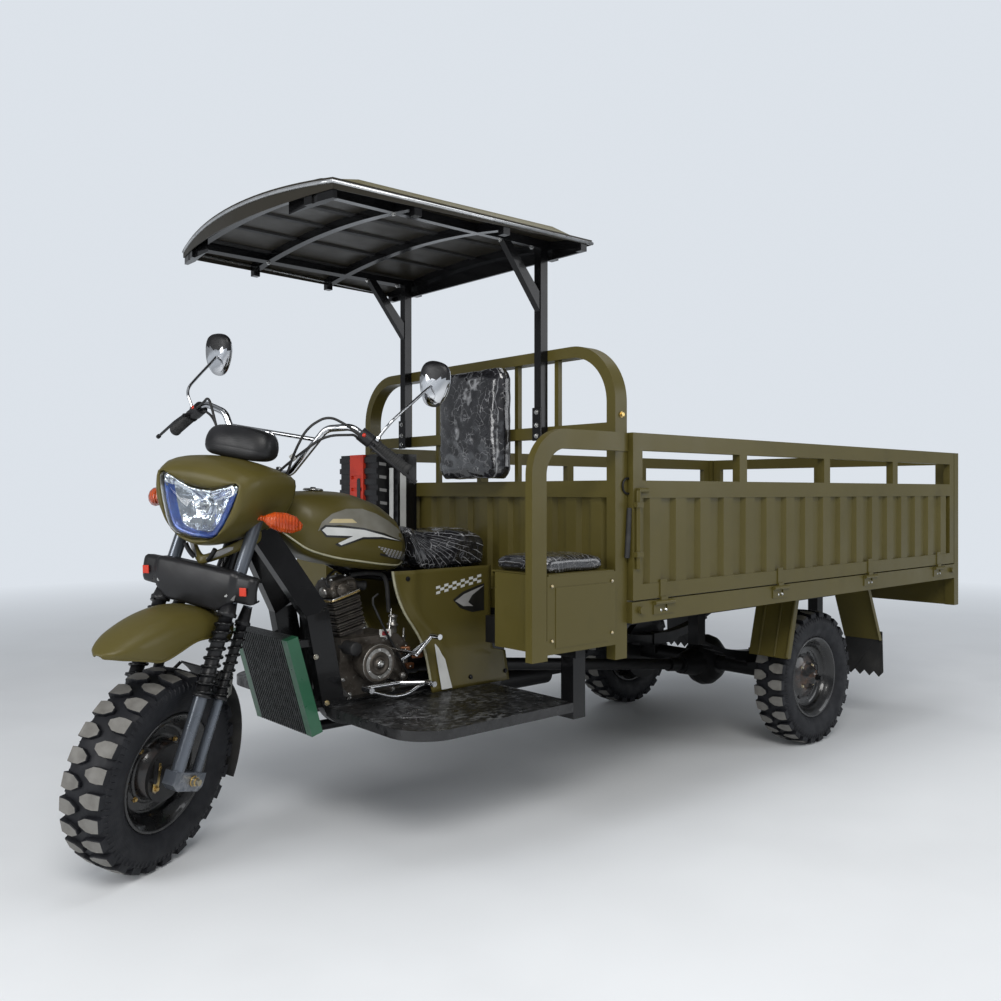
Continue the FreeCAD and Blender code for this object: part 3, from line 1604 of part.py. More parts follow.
def canopy_frame():
    """Two posts with braces, and tubes bent to the arch of the roof."""
    reach = roof_front_x - bed_front
    half = roof_rear_half
    rails = []
    for side in (1, -1):
        y = post_across * side
        rails.append(block(bed_front, roof_front_x, y - post_side / 2, y + post_side / 2,
                           canopy_edge_top - hoop_deep, roof_front_x))
    for share in roof_tube_shares:
        x = bed_front + reach * share
        rails.append(block(x, x + roof_tube, -half, half, canopy_edge_top - hoop_deep,
                           roof_front_x))
    skin = roof_sheet + seam * 2
    room = roof_volume(skin, post_foot_z)
    arch = fused(rails).common(room).cut(roof_volume(skin + roof_tube, post_foot_z - overrun))
    pieces = list(arch.Solids)
    for side in (1, -1):
        y = post_across * side
        pieces.append(block(post_x, post_x + post_side, y - post_side / 2, y + post_side / 2,
                            post_foot_z, roof_front_x).common(room))
        brace = [(post_x + post_side / 2, brace_foot_z),
                 (post_x + post_side / 2, brace_foot_z + post_side * 2),
                 (brace_top_x - post_side, brace_top_z), (brace_top_x, brace_top_z)]
        pieces.append(side_prism(brace, y - roof_tube / 2, y + roof_tube / 2).common(room))
    return fused(pieces)


# Load bed
floor_sheet = 3
floor_top = 700
member_wide = 40
member_pitch = 302
member_centre = 232
members_ahead = 3
rear_post_wide = 46
rear_post_over = 16
rear_post_foot = 525


def bed_frame():
    """Sills, cross members and the two rear corner posts."""
    inner = half_bed - sill_wide
    low = sill_bottom
    post_front = bed_rear + rear_post_wide - rear_post_over
    pieces = [block(bed_rear, bed_rear + sill_wide, -inner, inner, low, sill_top)]
    for side in (1, -1):
        pieces.append(block(bed_rear, bed_front - seam, inner * side, half_bed * side, low,
                            sill_top))
        pieces.append(block(bed_rear - rear_post_over, post_front, half_bed * side,
                            (half_bed - rear_post_wide) * side, rear_post_foot, gate_top))
    for step in range(-members_ahead, members_ahead + 1):
        x = member_centre + member_pitch * step
        pieces.append(block(x - member_wide / 2, x + member_wide / 2, -inner, inner, low,
                            floor_top - floor_sheet))
    return fused(pieces)


def bed_floor():
    inner = half_bed - sill_wide - seam
    return block(bed_rear + sill_wide + seam, bed_front - seam, -inner, inner,
                 floor_top - floor_sheet, floor_top)


# Gates, built about the hinge line with length along X and the outer face towards +Y
gate_clearance = 5
gate_thick = 30
gate_rail = 56
gate_low_rail = 50
gate_middle_top = 1112
upright_wide = 46
side_windows = 4
tail_windows = 2
side_ribs = 17
tail_ribs = 10
gate_rib_depth = 14
hinge_out = 8
hinge_z = 716
hinge_radius = 7
pin_radius = 4
knuckle_length = 34
hinge_strap_height = 60
side_hinge_shares = (0.0737, 0.3535, 0.6453, 0.9373)
tail_hinge_shares = (0.1, 0.5, 0.9)
buffer_length = 34
buffer_depth = 12
buffer_z = 630
latch_radius = 8
latch_bottom = 830
latch_top = 1080
latch_grip = 46


def hinge_height(z):
    return z - hinge_z


def gate_latch(x):
    """Upright bolt in two brackets on a gate's outer face."""
    y = -hinge_out + latch_radius - sheet
    low = hinge_height(latch_bottom)
    high = hinge_height(latch_top)
    bolt = rod(V(x, y, low), V(x, y, high), latch_radius)
    pieces = [bolt, rod(V(x, y, high), V(x - latch_grip, y, high), latch_radius)]
    for z in (low + latch_grip, high - latch_grip):
        pieces.append(block(x - latch_radius * 2, x + latch_radius * 2, -hinge_out,
                            y + latch_radius + sheet, z - latch_radius, z + latch_radius))
    return fused(pieces)


def gate(length, windows, ribs, hinge_shares, latch_x):
    """Welded frame with a ribbed sheet below open windows, and knuckles."""
    y0 = -hinge_out - gate_thick
    y1 = -hinge_out
    low = hinge_height(sill_top + gate_clearance)
    high = hinge_height(gate_top)
    middle = hinge_height(gate_middle_top)
    pieces = [block(0, length, y0, y1, low, low + gate_low_rail),
              block(0, length, y0, y1, middle - gate_rail, middle),
              block(0, length, y0, y1, high - gate_rail, high)]
    for index in range(windows + 1):
        x = (length - upright_wide) * index / windows
        ends = (0, windows)
        bottom = low if index in ends else middle - gate_rail
        pieces.append(block(x, x + upright_wide, y0, y1, bottom, high))
    sheet_low = low + gate_low_rail
    panel = ribbed_sheet(length - upright_wide * 2, ribs, gate_rib_depth,
                         middle - gate_rail - sheet_low)
    panel.translate(V(upright_wide, y1 - gate_rib_depth - sheet, sheet_low))
    pieces.append(panel)
    for share in hinge_shares:
        x = length * share
        pieces.append(gate_knuckle(x, low))
    pieces.append(gate_latch(latch_x))
    return fused(pieces)


def gate_knuckle(x, low):
    """Bored knuckle on a strap that laps the gate's lower rail."""
    half = knuckle_length / 2
    barrel = rod(V(x - half, 0, 0), V(x + half, 0, 0), hinge_radius)
    strap = block(x - half, x + half, -hinge_out, -hinge_out + plate, low - plate,
                  low + hinge_strap_height)
    web = block(x - half, x + half, -hinge_out, 0, hinge_radius / 2, low + plate)
    web = web.cut(block(x - half, x + half, -hinge_out - overrun, -hinge_out, 0, low))
    bore = rod(V(x - half - overrun, 0, 0), V(x + half + overrun, 0, 0), pin_radius + seam)
    return fused([barrel, strap, web]).cut(bore)


gate_length = bed_front - bed_rear - rear_post_wide + rear_post_over - gate_clearance * 2
gate_rear = bed_rear + rear_post_wide - rear_post_over + gate_clearance
gate_hinge_y = half_bed + hinge_out
tail_length = bed_width - rear_post_wide * 2 - running_gap * 2
tail_hinge_x = bed_rear - rear_post_over - hinge_out


def side_gate():
    built = gate(gate_length, side_windows, side_ribs, side_hinge_shares,
                 gate_length - latch_radius * 2 - sheet)
    return moved(built, V(gate_rear, gate_hinge_y, hinge_z))


def tailgate():
    built = gate(tail_length, tail_windows, tail_ribs, tail_hinge_shares,
                 tail_length - latch_radius * 3)
    built.rotate(ORIGIN, UP, 90)
    return moved(built, V(tail_hinge_x, -tail_length / 2, hinge_z))


def hinge_leaf(x):
    """Leaf on the sill with two outer knuckles, their pin and its heads."""
    half = knuckle_length / 2
    pin = rod(V(x - knuckle_length * 3 / 2, 0, 0), V(x + knuckle_length * 3 / 2, 0, 0),
              pin_radius)
    pieces = [pin]
    low = hinge_height(sill_bottom) + overrun
    for side in (1, -1):
        near = x + (half + seam) * side
        far = x + knuckle_length * 3 / 2 * side
        pieces.append(rod(V(near, 0, 0), V(far, 0, 0), hinge_radius))
        pieces.append(block(near, far, -hinge_out, -hinge_out + plate, low, 0))
        pieces.append(block(near, far, -hinge_out, 0, -plate, 0))
    pieces.append(block(x - knuckle_length * 3 / 2, x + knuckle_length * 3 / 2, -hinge_out,
                        -hinge_out + plate, low, low + plate * 2))
    return fused(pieces)


def bed_hinges():
    """Hinge leaves of all gates, with rubber stops for the hanging gates."""
    leaves = []
    for share in side_hinge_shares:
        leaf = moved(hinge_leaf(gate_length * share), V(gate_rear, gate_hinge_y, hinge_z))
        leaves += [leaf, mirrored(leaf)]
    for x in (gate_rear + buffer_length, gate_rear + gate_length - buffer_length):
        for side in (1, -1):
            leaves.append(rod(V(x, half_bed * side, buffer_z + buffer_length * 2),
                              V(x, (half_bed + buffer_depth) * side,
                                buffer_z + buffer_length * 2), buffer_depth))
    for share in tail_hinge_shares:
        leaf = hinge_leaf(tail_length * share)
        strap = block(tail_length * share - knuckle_length * 3 / 2,
                      tail_length * share + knuckle_length * 3 / 2,
                      -hinge_out - rear_post_over, -hinge_out,
                      hinge_height(sill_bottom) + overrun, -plate)
        leaf = fused([leaf, strap])
        leaf.rotate(ORIGIN, UP, 90)
        leaves.append(moved(leaf, V(tail_hinge_x, -tail_length / 2, hinge_z)))
    return Part.makeCompound(leaves)


# Rear axle and springs
axle_tube_radius = 38
axle_tube_half = 405
brake_radius = 142
brake_depth = 34
saddle_wide = 74
saddle_long = 96
leaf_count = 5
leaf_thickness = 10
leaf_wide = 50
leaf_step_share = 0.17
spring_half_length = 470
spring_sag = 92
shackle_thick = 6


def differential():
    """Round differential case with its nose towards the shaft."""
    profile = [(0, -diff_half_width)]
    profile += [(diff_radius * r, -diff_half_width * a) for a, r in reversed(diff_shares)]
    profile += [(diff_radius * r, diff_half_width * a) for a, r in diff_shares[1:]]
    profile.append((0, diff_half_width))
    case = revolved(profile, V(0, 0, tyre_radius), LEFT)
    nose = Part.makeCone(diff_radius * diff_shares[2][1], diff_nose_radius, diff_nose_length,
                         V(0, 0, tyre_radius), AHEAD)
    return fused([case, nose])


def rear_axle():
    """Live axle: tubes, differential, brake plates, stubs and spring saddles."""
    pieces = [differential()]
    z = tyre_radius
    for side in (1, -1):
        pieces.append(rod(V(0, 0, z), V(0, axle_tube_half * side, z), axle_tube_radius))
        pieces.append(rod(V(0, (axle_tube_half - brake_depth) * side, z),
                          V(0, axle_tube_half * side, z), brake_radius))
        hub_face = rear_track / 2 - hub_half_width - seam
        nut_face = rear_track / 2 + hub_half_width + seam
        pieces.append(rod(V(0, 0, z), V(0, hub_face * side, z), axle_radius * 2))
        pieces.append(rod(V(0, 0, z), V(0, (nut_face + axle_nut_thickness * 2) * side, z),
                          axle_radius))
        pieces.append(rod(V(0, nut_face * side, z),
                          V(0, (nut_face + axle_nut_thickness) * side, z), axle_nut_radius))
        y = rail_across * side
        top = z + axle_tube_radius
        pieces.append(block(-saddle_long / 2, saddle_long / 2, y - saddle_wide / 2,
                            y + saddle_wide / 2, z, top))
    return fused(pieces)


def leaf_springs():
    """Curved leaves of falling length, with shackles to the rail and clamps."""
    low = tyre_radius + axle_tube_radius
    radius = (spring_half_length ** 2 + spring_sag ** 2) / (2 * spring_sag)
    stack_height = leaf_count * leaf_thickness
    centre_z = low + stack_height + radius
    y = rail_across - leaf_wide / 2
    stack = []
    for index in range(leaf_count):
        reach = spring_half_length * (1 - leaf_step_share * index)
        stack.append(spring_leaf(radius + index * leaf_thickness, centre_z, reach, y))
    half = saddle_long / 2
    stack.append(block(-half, half, y - shackle_thick, y + leaf_wide + shackle_thick, low,
                       low + stack_height + shackle_thick))
    eye_z = low + stack_height + spring_sag
    for end in (1, -1):
        x = spring_half_length * end
        stack.append(block(x - leaf_wide / 2, x + leaf_wide / 2, y, y + leaf_wide,
                           eye_z - leaf_thickness * 2, rail_top - rail_deep))
    return pair(fused(stack))


def spring_leaf(inner, centre_z, reach, y):
    """One curved leaf, extruded across its width."""
    outer = inner + leaf_thickness
    angle = math.asin(reach / inner)
    rows = []
    for radius in (inner, outer):
        rows.append([V(radius * math.sin(a), y, centre_z - radius * math.cos(a))
                     for a in (-angle, 0, angle)])
    edges = [Part.Arc(*rows[0]).toShape(), Part.makeLine(rows[0][2], rows[1][2]),
             Part.Arc(rows[1][2], rows[1][1], rows[1][0]).toShape(),
             Part.makeLine(rows[1][0], rows[0][0])]
    return Part.Face(Part.Wire(edges)).extrude(LEFT * leaf_wide)


# Rear mudguards, flaps, tail panel and lamps
fender_inner = 440
fender_outer = 622
fender_front_top = 232
fender_front_foot = 302
fender_front_foot_z = 402
fender_rear_top = -372
fender_rear_foot = -490
fender_rear_foot_z = 395
fender_flange = 22
flap_bottom = 240
flap_lap = 40
flap_thickness = 5
tail_panel_bottom = 525
tail_panel_sheet = 3
lamp_across = 550
tail_lamp_half_width = 62
lamp_half_height = 34
lamp_depth = 22
lamp_z = 588


def fender_plates(y0, y1, thick):
    """Front and rear sloping plates of one rear mudguard."""
    top = sill_bottom - seam
    front = [(fender_front_top - thick, top), (fender_front_top, top),
             (fender_front_foot, fender_front_foot_z),
             (fender_front_foot - thick, fender_front_foot_z)]
    rear = [(fender_rear_top + thick, top), (fender_rear_top, top),
            (fender_rear_foot, fender_rear_foot_z),
            (fender_rear_foot + thick, fender_rear_foot_z)]
    return [side_prism(front, y0, y1), side_prism(rear, y0, y1)]


def rear_fenders():
    """Plates ahead of and behind each rear wheel, flanged outside."""
    plates = fender_plates(fender_inner, fender_outer, sheet)
    flanges = fender_plates(fender_outer - sheet, fender_outer, fender_flange)
    shapes = [fused([flat, edge]) for flat, edge in zip(plates, flanges)]
    return Part.makeCompound(shapes + [mirrored(shape) for shape in shapes])


def fender_flaps():
    """Rubber flap hanging behind the foot of each rear mudguard plate."""
    x0 = fender_rear_foot - seam
    flap = block(x0, x0 - flap_thickness, fender_inner, fender_outer, flap_bottom,
                 fender_rear_foot_z + flap_lap)
    slope = fender_plates(fender_inner - overrun, fender_outer + overrun, fender_flange)
    return pair(flap.cut(moved(slope[1], AHEAD * -seam)))


def tail_panel():
    x1 = rail_rear - seam
    inner = half_bed - rear_post_wide - seam
    return block(x1 - tail_panel_sheet, x1, -inner, inner, tail_panel_bottom,
                 sill_bottom - seam)


def tail_lamps():
    """Shallow round-cornered lamps on the tail panel."""
    x1 = rail_rear - seam * 2 - tail_panel_sheet
    lamp = block(x1 - lamp_depth, x1, lamp_across - tail_lamp_half_width,
                 lamp_across + tail_lamp_half_width, lamp_z - lamp_half_height,
                 lamp_z + lamp_half_height)
    upright = [edge for edge in lamp.Edges if edge.BoundBox.XLength > lamp_depth / 2]
    return pair(lamp.makeFillet(lamp_half_height / 2, upright))


# Air cleaner on the right-hand locker
cleaner_back = 1440
cleaner_front = 1580
cleaner_inner = -418
cleaner_outer = -690
cleaner_top = 1225
cleaner_ribs = 9
cleaner_rib_depth = 7
cleaner_rib_share = 0.5
cleaner_centre_share = 0.36
cleaner_panel_depth = 12
cleaner_slots = 5
cleaner_slot_share = 0.4
aside_post_inner = -341
aside_post_outer = -408
aside_post_front = 1530


def air_cleaner():
    """Ribbed plastic box with a flat middle, on a closed base."""
    low = locker_top + lid_thickness + seam
    back = cleaner_back + seam
    core = block(back, cleaner_front - cleaner_rib_depth, cleaner_outer, cleaner_inner, low,
                 cleaner_top)
    pitch = (cleaner_top - low) / cleaner_ribs
    centre = (cleaner_inner + cleaner_outer) / 2
    half = (cleaner_inner - cleaner_outer) * cleaner_centre_share / 2
    pieces = [core]
    for index in range(cleaner_ribs):
        z = low + pitch * index + pitch * (1 - cleaner_rib_share) / 2
        rib = block(back + cleaner_rib_depth, cleaner_front, cleaner_outer, cleaner_inner, z,
                    z + pitch * cleaner_rib_share)
        gap = block(cleaner_front - cleaner_rib_depth, cleaner_front + overrun, centre - half,
                    centre + half, z, z + pitch)
        pieces.append(rib.cut(gap))
    return fused(pieces)


def air_cleaner_front():
    """Slotted grille on the middle of the air cleaner."""
    low = locker_top + lid_thickness + seam
    centre = (cleaner_inner + cleaner_outer) / 2
    half = (cleaner_inner - cleaner_outer) * cleaner_centre_share / 2 - seam
    x0 = cleaner_front - cleaner_rib_depth + seam
    height = cleaner_top - low
    panel = block(x0, x0 + cleaner_panel_depth, centre - half, centre + half,
                  low + height * cleaner_slot_share / 2, cleaner_top)
    for index in range(cleaner_slots):
        z = low + height * (index + 2) / (cleaner_slots + 3)
        panel = panel.cut(block(x0 + cleaner_panel_depth / 2, x0 + cleaner_panel_depth + overrun,
                                centre - half * cleaner_slot_share * 2,
                                centre + half * cleaner_slot_share * 2, z,
                                z + cleaner_rib_depth * 2))
    return panel


def right_lid():
    """Fixed lid of the right-hand locker, with the post beside the cleaner."""
    low = locker_top + seam
    top = low + lid_thickness
    lid = block(hoop_front + seam, locker_front - lid_margin, -half_bed + panel_relief,
                aside_post_inner, low, top)
    post = block(post_x, aside_post_front, aside_post_outer, aside_post_inner, low,
                 cleaner_top)
    return fused([lid, post])


# Every node by name: the standing pieces, the lockers' pairs and the wheels
left_wheel_place = V(0, rear_track / 2, tyre_radius)
right_wheel_place = V(0, -rear_track / 2, tyre_radius)
rear_rim_shape = rim(rim_half_width / 2)
fixed = {
    "main_frame": main_frame(),
    "chassis": chassis(),
    "radiator_core": radiator_core(),
    "radiator_tanks": radiator_tanks(),
    "fuel_tank": fuel_tank(),
    "driver_seat": driver_seat(),
    "side_covers": pair(side_cover()),
    "engine_case": engine_case(),
    "engine_cylinder": engine_cylinder(),
    "exhaust": exhaust(),
    "propeller_shaft": propeller_shaft(),
    "foot_controls": foot_controls(),
    "footboards": pair(footboard()),
    "board_posts": pair(board_post()),
    "lockers": pair(locker()),
    "locker_lid_left": locker_lid(),
    "locker_lid_right": right_lid(),
    "passenger_cushion": passenger_cushion(),
    "armrest": armrest(),
    "headboard": headboard(),
    "backrest": backrest(),
    "canopy_frame": canopy_frame(),
    "canopy_roof": canopy_roof(),
    "bed_frame": bed_frame(),
    "bed_floor": bed_floor(),
    "bed_hinges": bed_hinges(),
    "gate_left": side_gate(),
    "gate_right": mirrored(side_gate()),
    "tailgate": tailgate(),
    "rear_axle": rear_axle(),
    "leaf_springs": leaf_springs(),
    "rear_fenders": rear_fenders(),
    "fender_flaps": fender_flaps(),
    "tail_panel": tail_panel(),
    "tail_lamps": tail_lamps(),
    "air_cleaner": air_cleaner(),
    "air_cleaner_front": air_cleaner_front(),
    "rear_tyre_left": moved(tyre(), left_wheel_place),
    "rear_tyre_right": moved(mirrored(tyre()), right_wheel_place),
    "rear_rim_left": moved(rear_rim_shape, left_wheel_place),
    "rear_rim_right": moved(mirrored(rear_rim_shape), right_wheel_place),
}
turning = {
    "fork_legs": fork_legs(),
    "fork_springs": fork_springs(),
    "steering_crown": steering_crown(),
    "upper_clamp": upper_clamp(),
    "front_axle": front_axle(),
    "front_brake_plate": front_brake_plate(),
    "front_mudguard": front_mudguard(),
    "front_flap": front_flap(),
    "fork_guard": fork_guard(),
    "headlamp_fairing": headlamp_fairing(),
    "headlamp": headlamp(),
    "instrument_cluster": instrument_cluster(),
    "handlebar": handlebar(),
    "hand_controls": pair(hand_control()),
    "mirrors": pair(mirror()),
    "turn_signals": turn_signals(),
    "control_cables": control_cables(),
    "front_tyre": moved(tyre(), hub),
    "front_rim": front_rim(),
}

os.makedirs("parts", exist_ok=True)
for name, shape in turning.items():
    fixed[name] = steered(shape)
for name, shape in fixed.items():
    shape.translate(AHEAD * -origin_to_rear_axle)
    shape.exportStep("parts/" + name + ".step")
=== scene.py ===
"""Looks of the cargo tricycle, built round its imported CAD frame."""
import json
import math

import bmesh
import bpy
from mathutils import Matrix, Vector, noise
from mathutils.bvhtree import BVHTree


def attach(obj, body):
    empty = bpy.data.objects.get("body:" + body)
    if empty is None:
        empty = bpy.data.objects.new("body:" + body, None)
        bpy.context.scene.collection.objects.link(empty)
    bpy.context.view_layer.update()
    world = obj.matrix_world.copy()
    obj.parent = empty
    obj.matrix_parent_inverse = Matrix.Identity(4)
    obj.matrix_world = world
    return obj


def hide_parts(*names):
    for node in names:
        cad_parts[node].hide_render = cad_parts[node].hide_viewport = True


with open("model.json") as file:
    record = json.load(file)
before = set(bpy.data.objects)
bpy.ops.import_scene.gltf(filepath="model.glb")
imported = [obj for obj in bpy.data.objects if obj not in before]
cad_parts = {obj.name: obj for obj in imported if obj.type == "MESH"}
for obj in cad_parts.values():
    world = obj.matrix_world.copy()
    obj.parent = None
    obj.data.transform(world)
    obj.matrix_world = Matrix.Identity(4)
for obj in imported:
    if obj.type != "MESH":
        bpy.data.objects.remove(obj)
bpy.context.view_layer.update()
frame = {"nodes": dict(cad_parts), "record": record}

SHIFT = 0.912                     # rear axle behind the frame's origin, metres
REST_TURN = math.radians(30)      # steering angle of the rest pose
RAKE = math.radians(19)           # lean of the fork from the upright
EYE = Vector((3.6438 - SHIFT, 2.6643, 1.075))   # where the photograph was taken
AHEAD_OF_EYE = Vector((-0.6614, -0.75, 0)).normalized()
RIGHT_OF_EYE = Vector((-0.75, 0.6614, 0)).normalized()
FOCUS, MIDDLE_U, HORIZON_V = 930, 500.5, 492     # the photograph's pixels
joints = {joint["name"]: joint for joint in frame["record"]["behaviour"]["joints"]}
steer_pos = Vector(joints["steer"]["pos_m"])
steer_axis = Vector(joints["steer"]["axis"])
steer_matrix = (Matrix.Translation(steer_pos) @ Matrix.Rotation(REST_TURN, 4, steer_axis)
                @ Matrix.Translation(-steer_pos))


def at(x, y, z):
    """Millimetres from the rear axle's middle to metres in the frame."""
    return Vector((x / 1000 - SHIFT, y / 1000, z / 1000))


def steer_at(x, y, z):
    """The same for a piece on the steering, measured with the wheel ahead."""
    return steer_matrix @ at(x, y, z)


def steer_way(x, y, z):
    """A direction on the steering, given with the wheel ahead."""
    return steer_matrix.to_3x3() @ Vector((x, y, z))


# ---------------------------------------------------------------- materials
class Look:
    """A material with short calls for procedural colour, gloss and relief."""

    def __init__(self, name, color, rough, metal=0.0, **sockets):
        self.mat = bpy.data.materials.new(name)
        self.mat.use_nodes = True
        self.tree = self.mat.node_tree
        self.nodes = self.tree.nodes
        self.shader = self.nodes["Principled BSDF"]
        self.color = (*color, 1.0)
        self.rough = rough
        self.shader.inputs["Base Color"].default_value = self.color
        self.shader.inputs["Roughness"].default_value = rough
        self.shader.inputs["Metallic"].default_value = metal
        for key, value in sockets.items():
            self.shader.inputs[key.replace("_", " ")].default_value = value
        self.coords = self.nodes.new("ShaderNodeTexCoord").outputs["Object"]
        self.color_out = None
        self.normal_out = None

    def link(self, source, target):
        self.tree.links.new(source, target)

    def feed(self, socket, value):
        """Links an output to a socket, or sets the socket to a constant."""
        if isinstance(value, bpy.types.NodeSocket):
            self.link(value, socket)
        elif value is not None:
            socket.default_value = value

    def add(self, kind, **values):
        node = self.nodes.new("ShaderNode" + kind)
        for key, value in values.items():
            if key in node.inputs:
                node.inputs[key].default_value = value
            else:
                setattr(node, key, value)
        return node

    def noise(self, scale, detail=3.0, stretch=None):
        node = self.add("TexNoise", Scale=scale, Detail=detail)
        coords = self.coords
        if stretch:
            mapping = self.add("Mapping")
            mapping.inputs["Scale"].default_value = stretch
            self.link(coords, mapping.inputs["Vector"])
            coords = mapping.outputs["Vector"]
        self.link(coords, node.inputs["Vector"])
        return node.outputs["Fac"]

    def cells(self, scale, strength, distance):
        """Relief of small cells, as on moulded plastic."""
        node = self.add("TexVoronoi", Scale=scale)
        self.link(self.coords, node.inputs["Vector"])
        return self.relief(node.outputs["Distance"], strength, distance)

    def ramp(self, value, low, high, out_low=0.0, out_high=1.0):
        node = self.add("MapRange")
        for index, number in ((1, low), (2, high), (3, out_low), (4, out_high)):
            node.inputs[index].default_value = number
        self.link(value, node.inputs[0])
        return node.outputs[0]

    def math(self, operation, first, second=None):
        node = self.add("Math", operation=operation)
        self.feed(node.inputs[0], first)
        self.feed(node.inputs[1], second)
        return node.outputs[0]

    def vector(self, operation, first, second=None, result="Vector"):
        """A vector sum; the second value of a scaling is its factor."""
        node = self.add("VectorMath", operation=operation)
        self.feed(node.inputs[0], first)
        self.feed(node.inputs["Scale" if operation == "SCALE" else 1], second)
        return node.outputs[result]

    def part(self, axis, source=None):
        """One coordinate of the place on the object, or of another vector."""
        node = self.add("SeparateXYZ")
        self.link(self.coords if source is None else source, node.inputs[0])
        return node.outputs[axis]

    def facing(self, axis):
        """One coordinate of the face's normal."""
        return self.part(axis, self.add("NewGeometry").outputs["True Normal"])

    def blend(self, factor, color):
        """Lays another colour over the present one by a factor output."""
        node = self.add("Mix", data_type="RGBA")
        self.link(factor, node.inputs["Factor"])
        self.feed(node.inputs[6], self.color if self.color_out is None else self.color_out)
        node.inputs[7].default_value = (*color, 1.0)
        self.color_out = node.outputs[2]
        self.link(self.color_out, self.shader.inputs["Base Color"])
        return self

    def mottle(self, color, scale, low=0.45, high=0.7, detail=4.0, stretch=None):
        return self.blend(self.ramp(self.noise(scale, detail, stretch), low, high), color)

    def gloss(self, scale, low, high):
        value = self.ramp(self.noise(scale, 4.0), 0.3, 0.7, low, high)
        self.link(value, self.shader.inputs["Roughness"])
        return self

    def relief(self, height, strength, distance=0.001):
        node = self.add("Bump", Strength=strength, Distance=distance)
        self.link(height, node.inputs["Height"])
        self.feed(node.inputs["Normal"], self.normal_out)
        self.normal_out = node.outputs["Normal"]
        self.link(self.normal_out, self.shader.inputs["Normal"])
        return self

    def grain(self, scale, strength, distance=0.001, detail=4.0):
        return self.relief(self.noise(scale, detail), strength, distance)

    def worn(self, color, low=0.53, high=0.6):
        """Lightens sharp edges, broken up by noise."""
        point = self.add("NewGeometry").outputs["Pointiness"]
        edge = self.ramp(point, low, high)
        return self.blend(self.math("MULTIPLY", edge, self.ramp(self.noise(60), 0.35, 0.65)),
                          color)

    def off_axis(self, centre, axis):
        """Distance from a line, for rings round a wheel."""
        away = self.vector("SUBTRACT", self.coords, centre)
        along = self.vector("SCALE", axis, self.vector("DOT_PRODUCT", away, axis, "Value"))
        return self.vector("LENGTH", self.vector("SUBTRACT", away, along), result="Value")


def paint(name, color, light):
    look = Look(name, color, 0.4, Coat_Weight=0.11, Coat_Roughness=0.25,
                Specular_IOR_Level=0.24)
    look.mottle(light, 2.2, 0.4, 0.75).mottle([c * 0.86 for c in color], 5.5, 0.55, 0.8)
    look.gloss(9, 0.34, 0.48).grain(420, 0.10, 0.0006).grain(38, 0.04, 0.002)
    return look.mat


OLIVE_COLOR = (0.079, 0.0645, 0.0145)
OLIVE_LIGHT = (0.094, 0.077, 0.0195)
olive = paint("olive_paint", OLIVE_COLOR, OLIVE_LIGHT)


def make_black(name, rough, coat):
    look = Look(name, (0.006, 0.006, 0.0065), rough, Coat_Weight=coat, Coat_Roughness=0.06,
                Specular_IOR_Level=0.2)
    look.mottle((0.011, 0.011, 0.012), 7, 0.5, 0.85).gloss(14, rough, rough + 0.12)
    look.grain(160, 0.06, 0.0006)
    return look.mat


black = make_black("black_paint", 0.14, 0.16)
dark_steel = make_black("dark_steel", 0.42, 0.1)

plastic = (Look("black_plastic", (0.009, 0.009, 0.010), 0.4, Specular_IOR_Level=0.35)
           .cells(900, 0.25, 0.0003).gloss(20, 0.32, 0.48).mottle((0.016, 0.016, 0.018), 12).mat)
rubber = (Look("grip_rubber", (0.014, 0.014, 0.014), 0.7).grain(300, 0.3, 0.0006)
          .mottle((0.035, 0.034, 0.033), 18).mat)
flap = (Look("flap_rubber", (0.016, 0.016, 0.016), 0.62).grain(90, 0.25, 0.001)
        .mottle((0.06, 0.057, 0.052), 6, 0.5, 0.85).mat)
chrome = (Look("chrome", (0.62, 0.63, 0.65), 0.07, 1.0).gloss(16, 0.05, 0.16)
          .mottle((0.42, 0.43, 0.45), 8).grain(60, 0.03, 0.0008).mat)
zinc = (Look("zinc", (0.40, 0.38, 0.33), 0.34, 0.9).mottle((0.55, 0.44, 0.22), 30, 0.4, 0.7)
        .gloss(60, 0.25, 0.5).grain(200, 0.15, 0.0006).mat)
gold = (Look("gold_zinc", (0.50, 0.36, 0.13), 0.3, 0.9).mottle((0.36, 0.30, 0.20), 40)
        .gloss(80, 0.22, 0.45).grain(240, 0.12, 0.0006).mat)
fork_steel = (Look("fork_steel", (0.115, 0.130, 0.155), 0.28, 0.55, Coat_Weight=0.3)
              .mottle((0.06, 0.068, 0.08), 9, 0.45, 0.8, 4.0, (1, 1, 0.15)).gloss(14, 0.2, 0.4)
              .worn((0.35, 0.36, 0.38), 0.56, 0.66).mat)
cast = (Look("cast_alloy", (0.105, 0.092, 0.078), 0.44, 0.6)
        .mottle((0.05, 0.042, 0.034), 26, 0.42, 0.72).mottle((0.26, 0.25, 0.23), 90, 0.6, 0.8)
        .gloss(40, 0.32, 0.6).grain(180, 0.35, 0.001).mat)
fins = (Look("fin_alloy", (0.070, 0.062, 0.055), 0.4, 0.55)
        .mottle((0.16, 0.145, 0.12), 40, 0.5, 0.75).gloss(50, 0.3, 0.55).grain(260, 0.25, 0.0008)
        .mat)
alloy = (Look("bright_alloy", (0.42, 0.41, 0.39), 0.36, 0.85).mottle((0.24, 0.23, 0.21), 50)
         .gloss(50, 0.25, 0.5).grain(220, 0.25, 0.0008).mat)
copper = (Look("copper_cast", (0.20, 0.085, 0.040), 0.38, 0.7).mottle((0.07, 0.035, 0.022), 34)
          .gloss(60, 0.28, 0.55).grain(200, 0.3, 0.0008).mat)
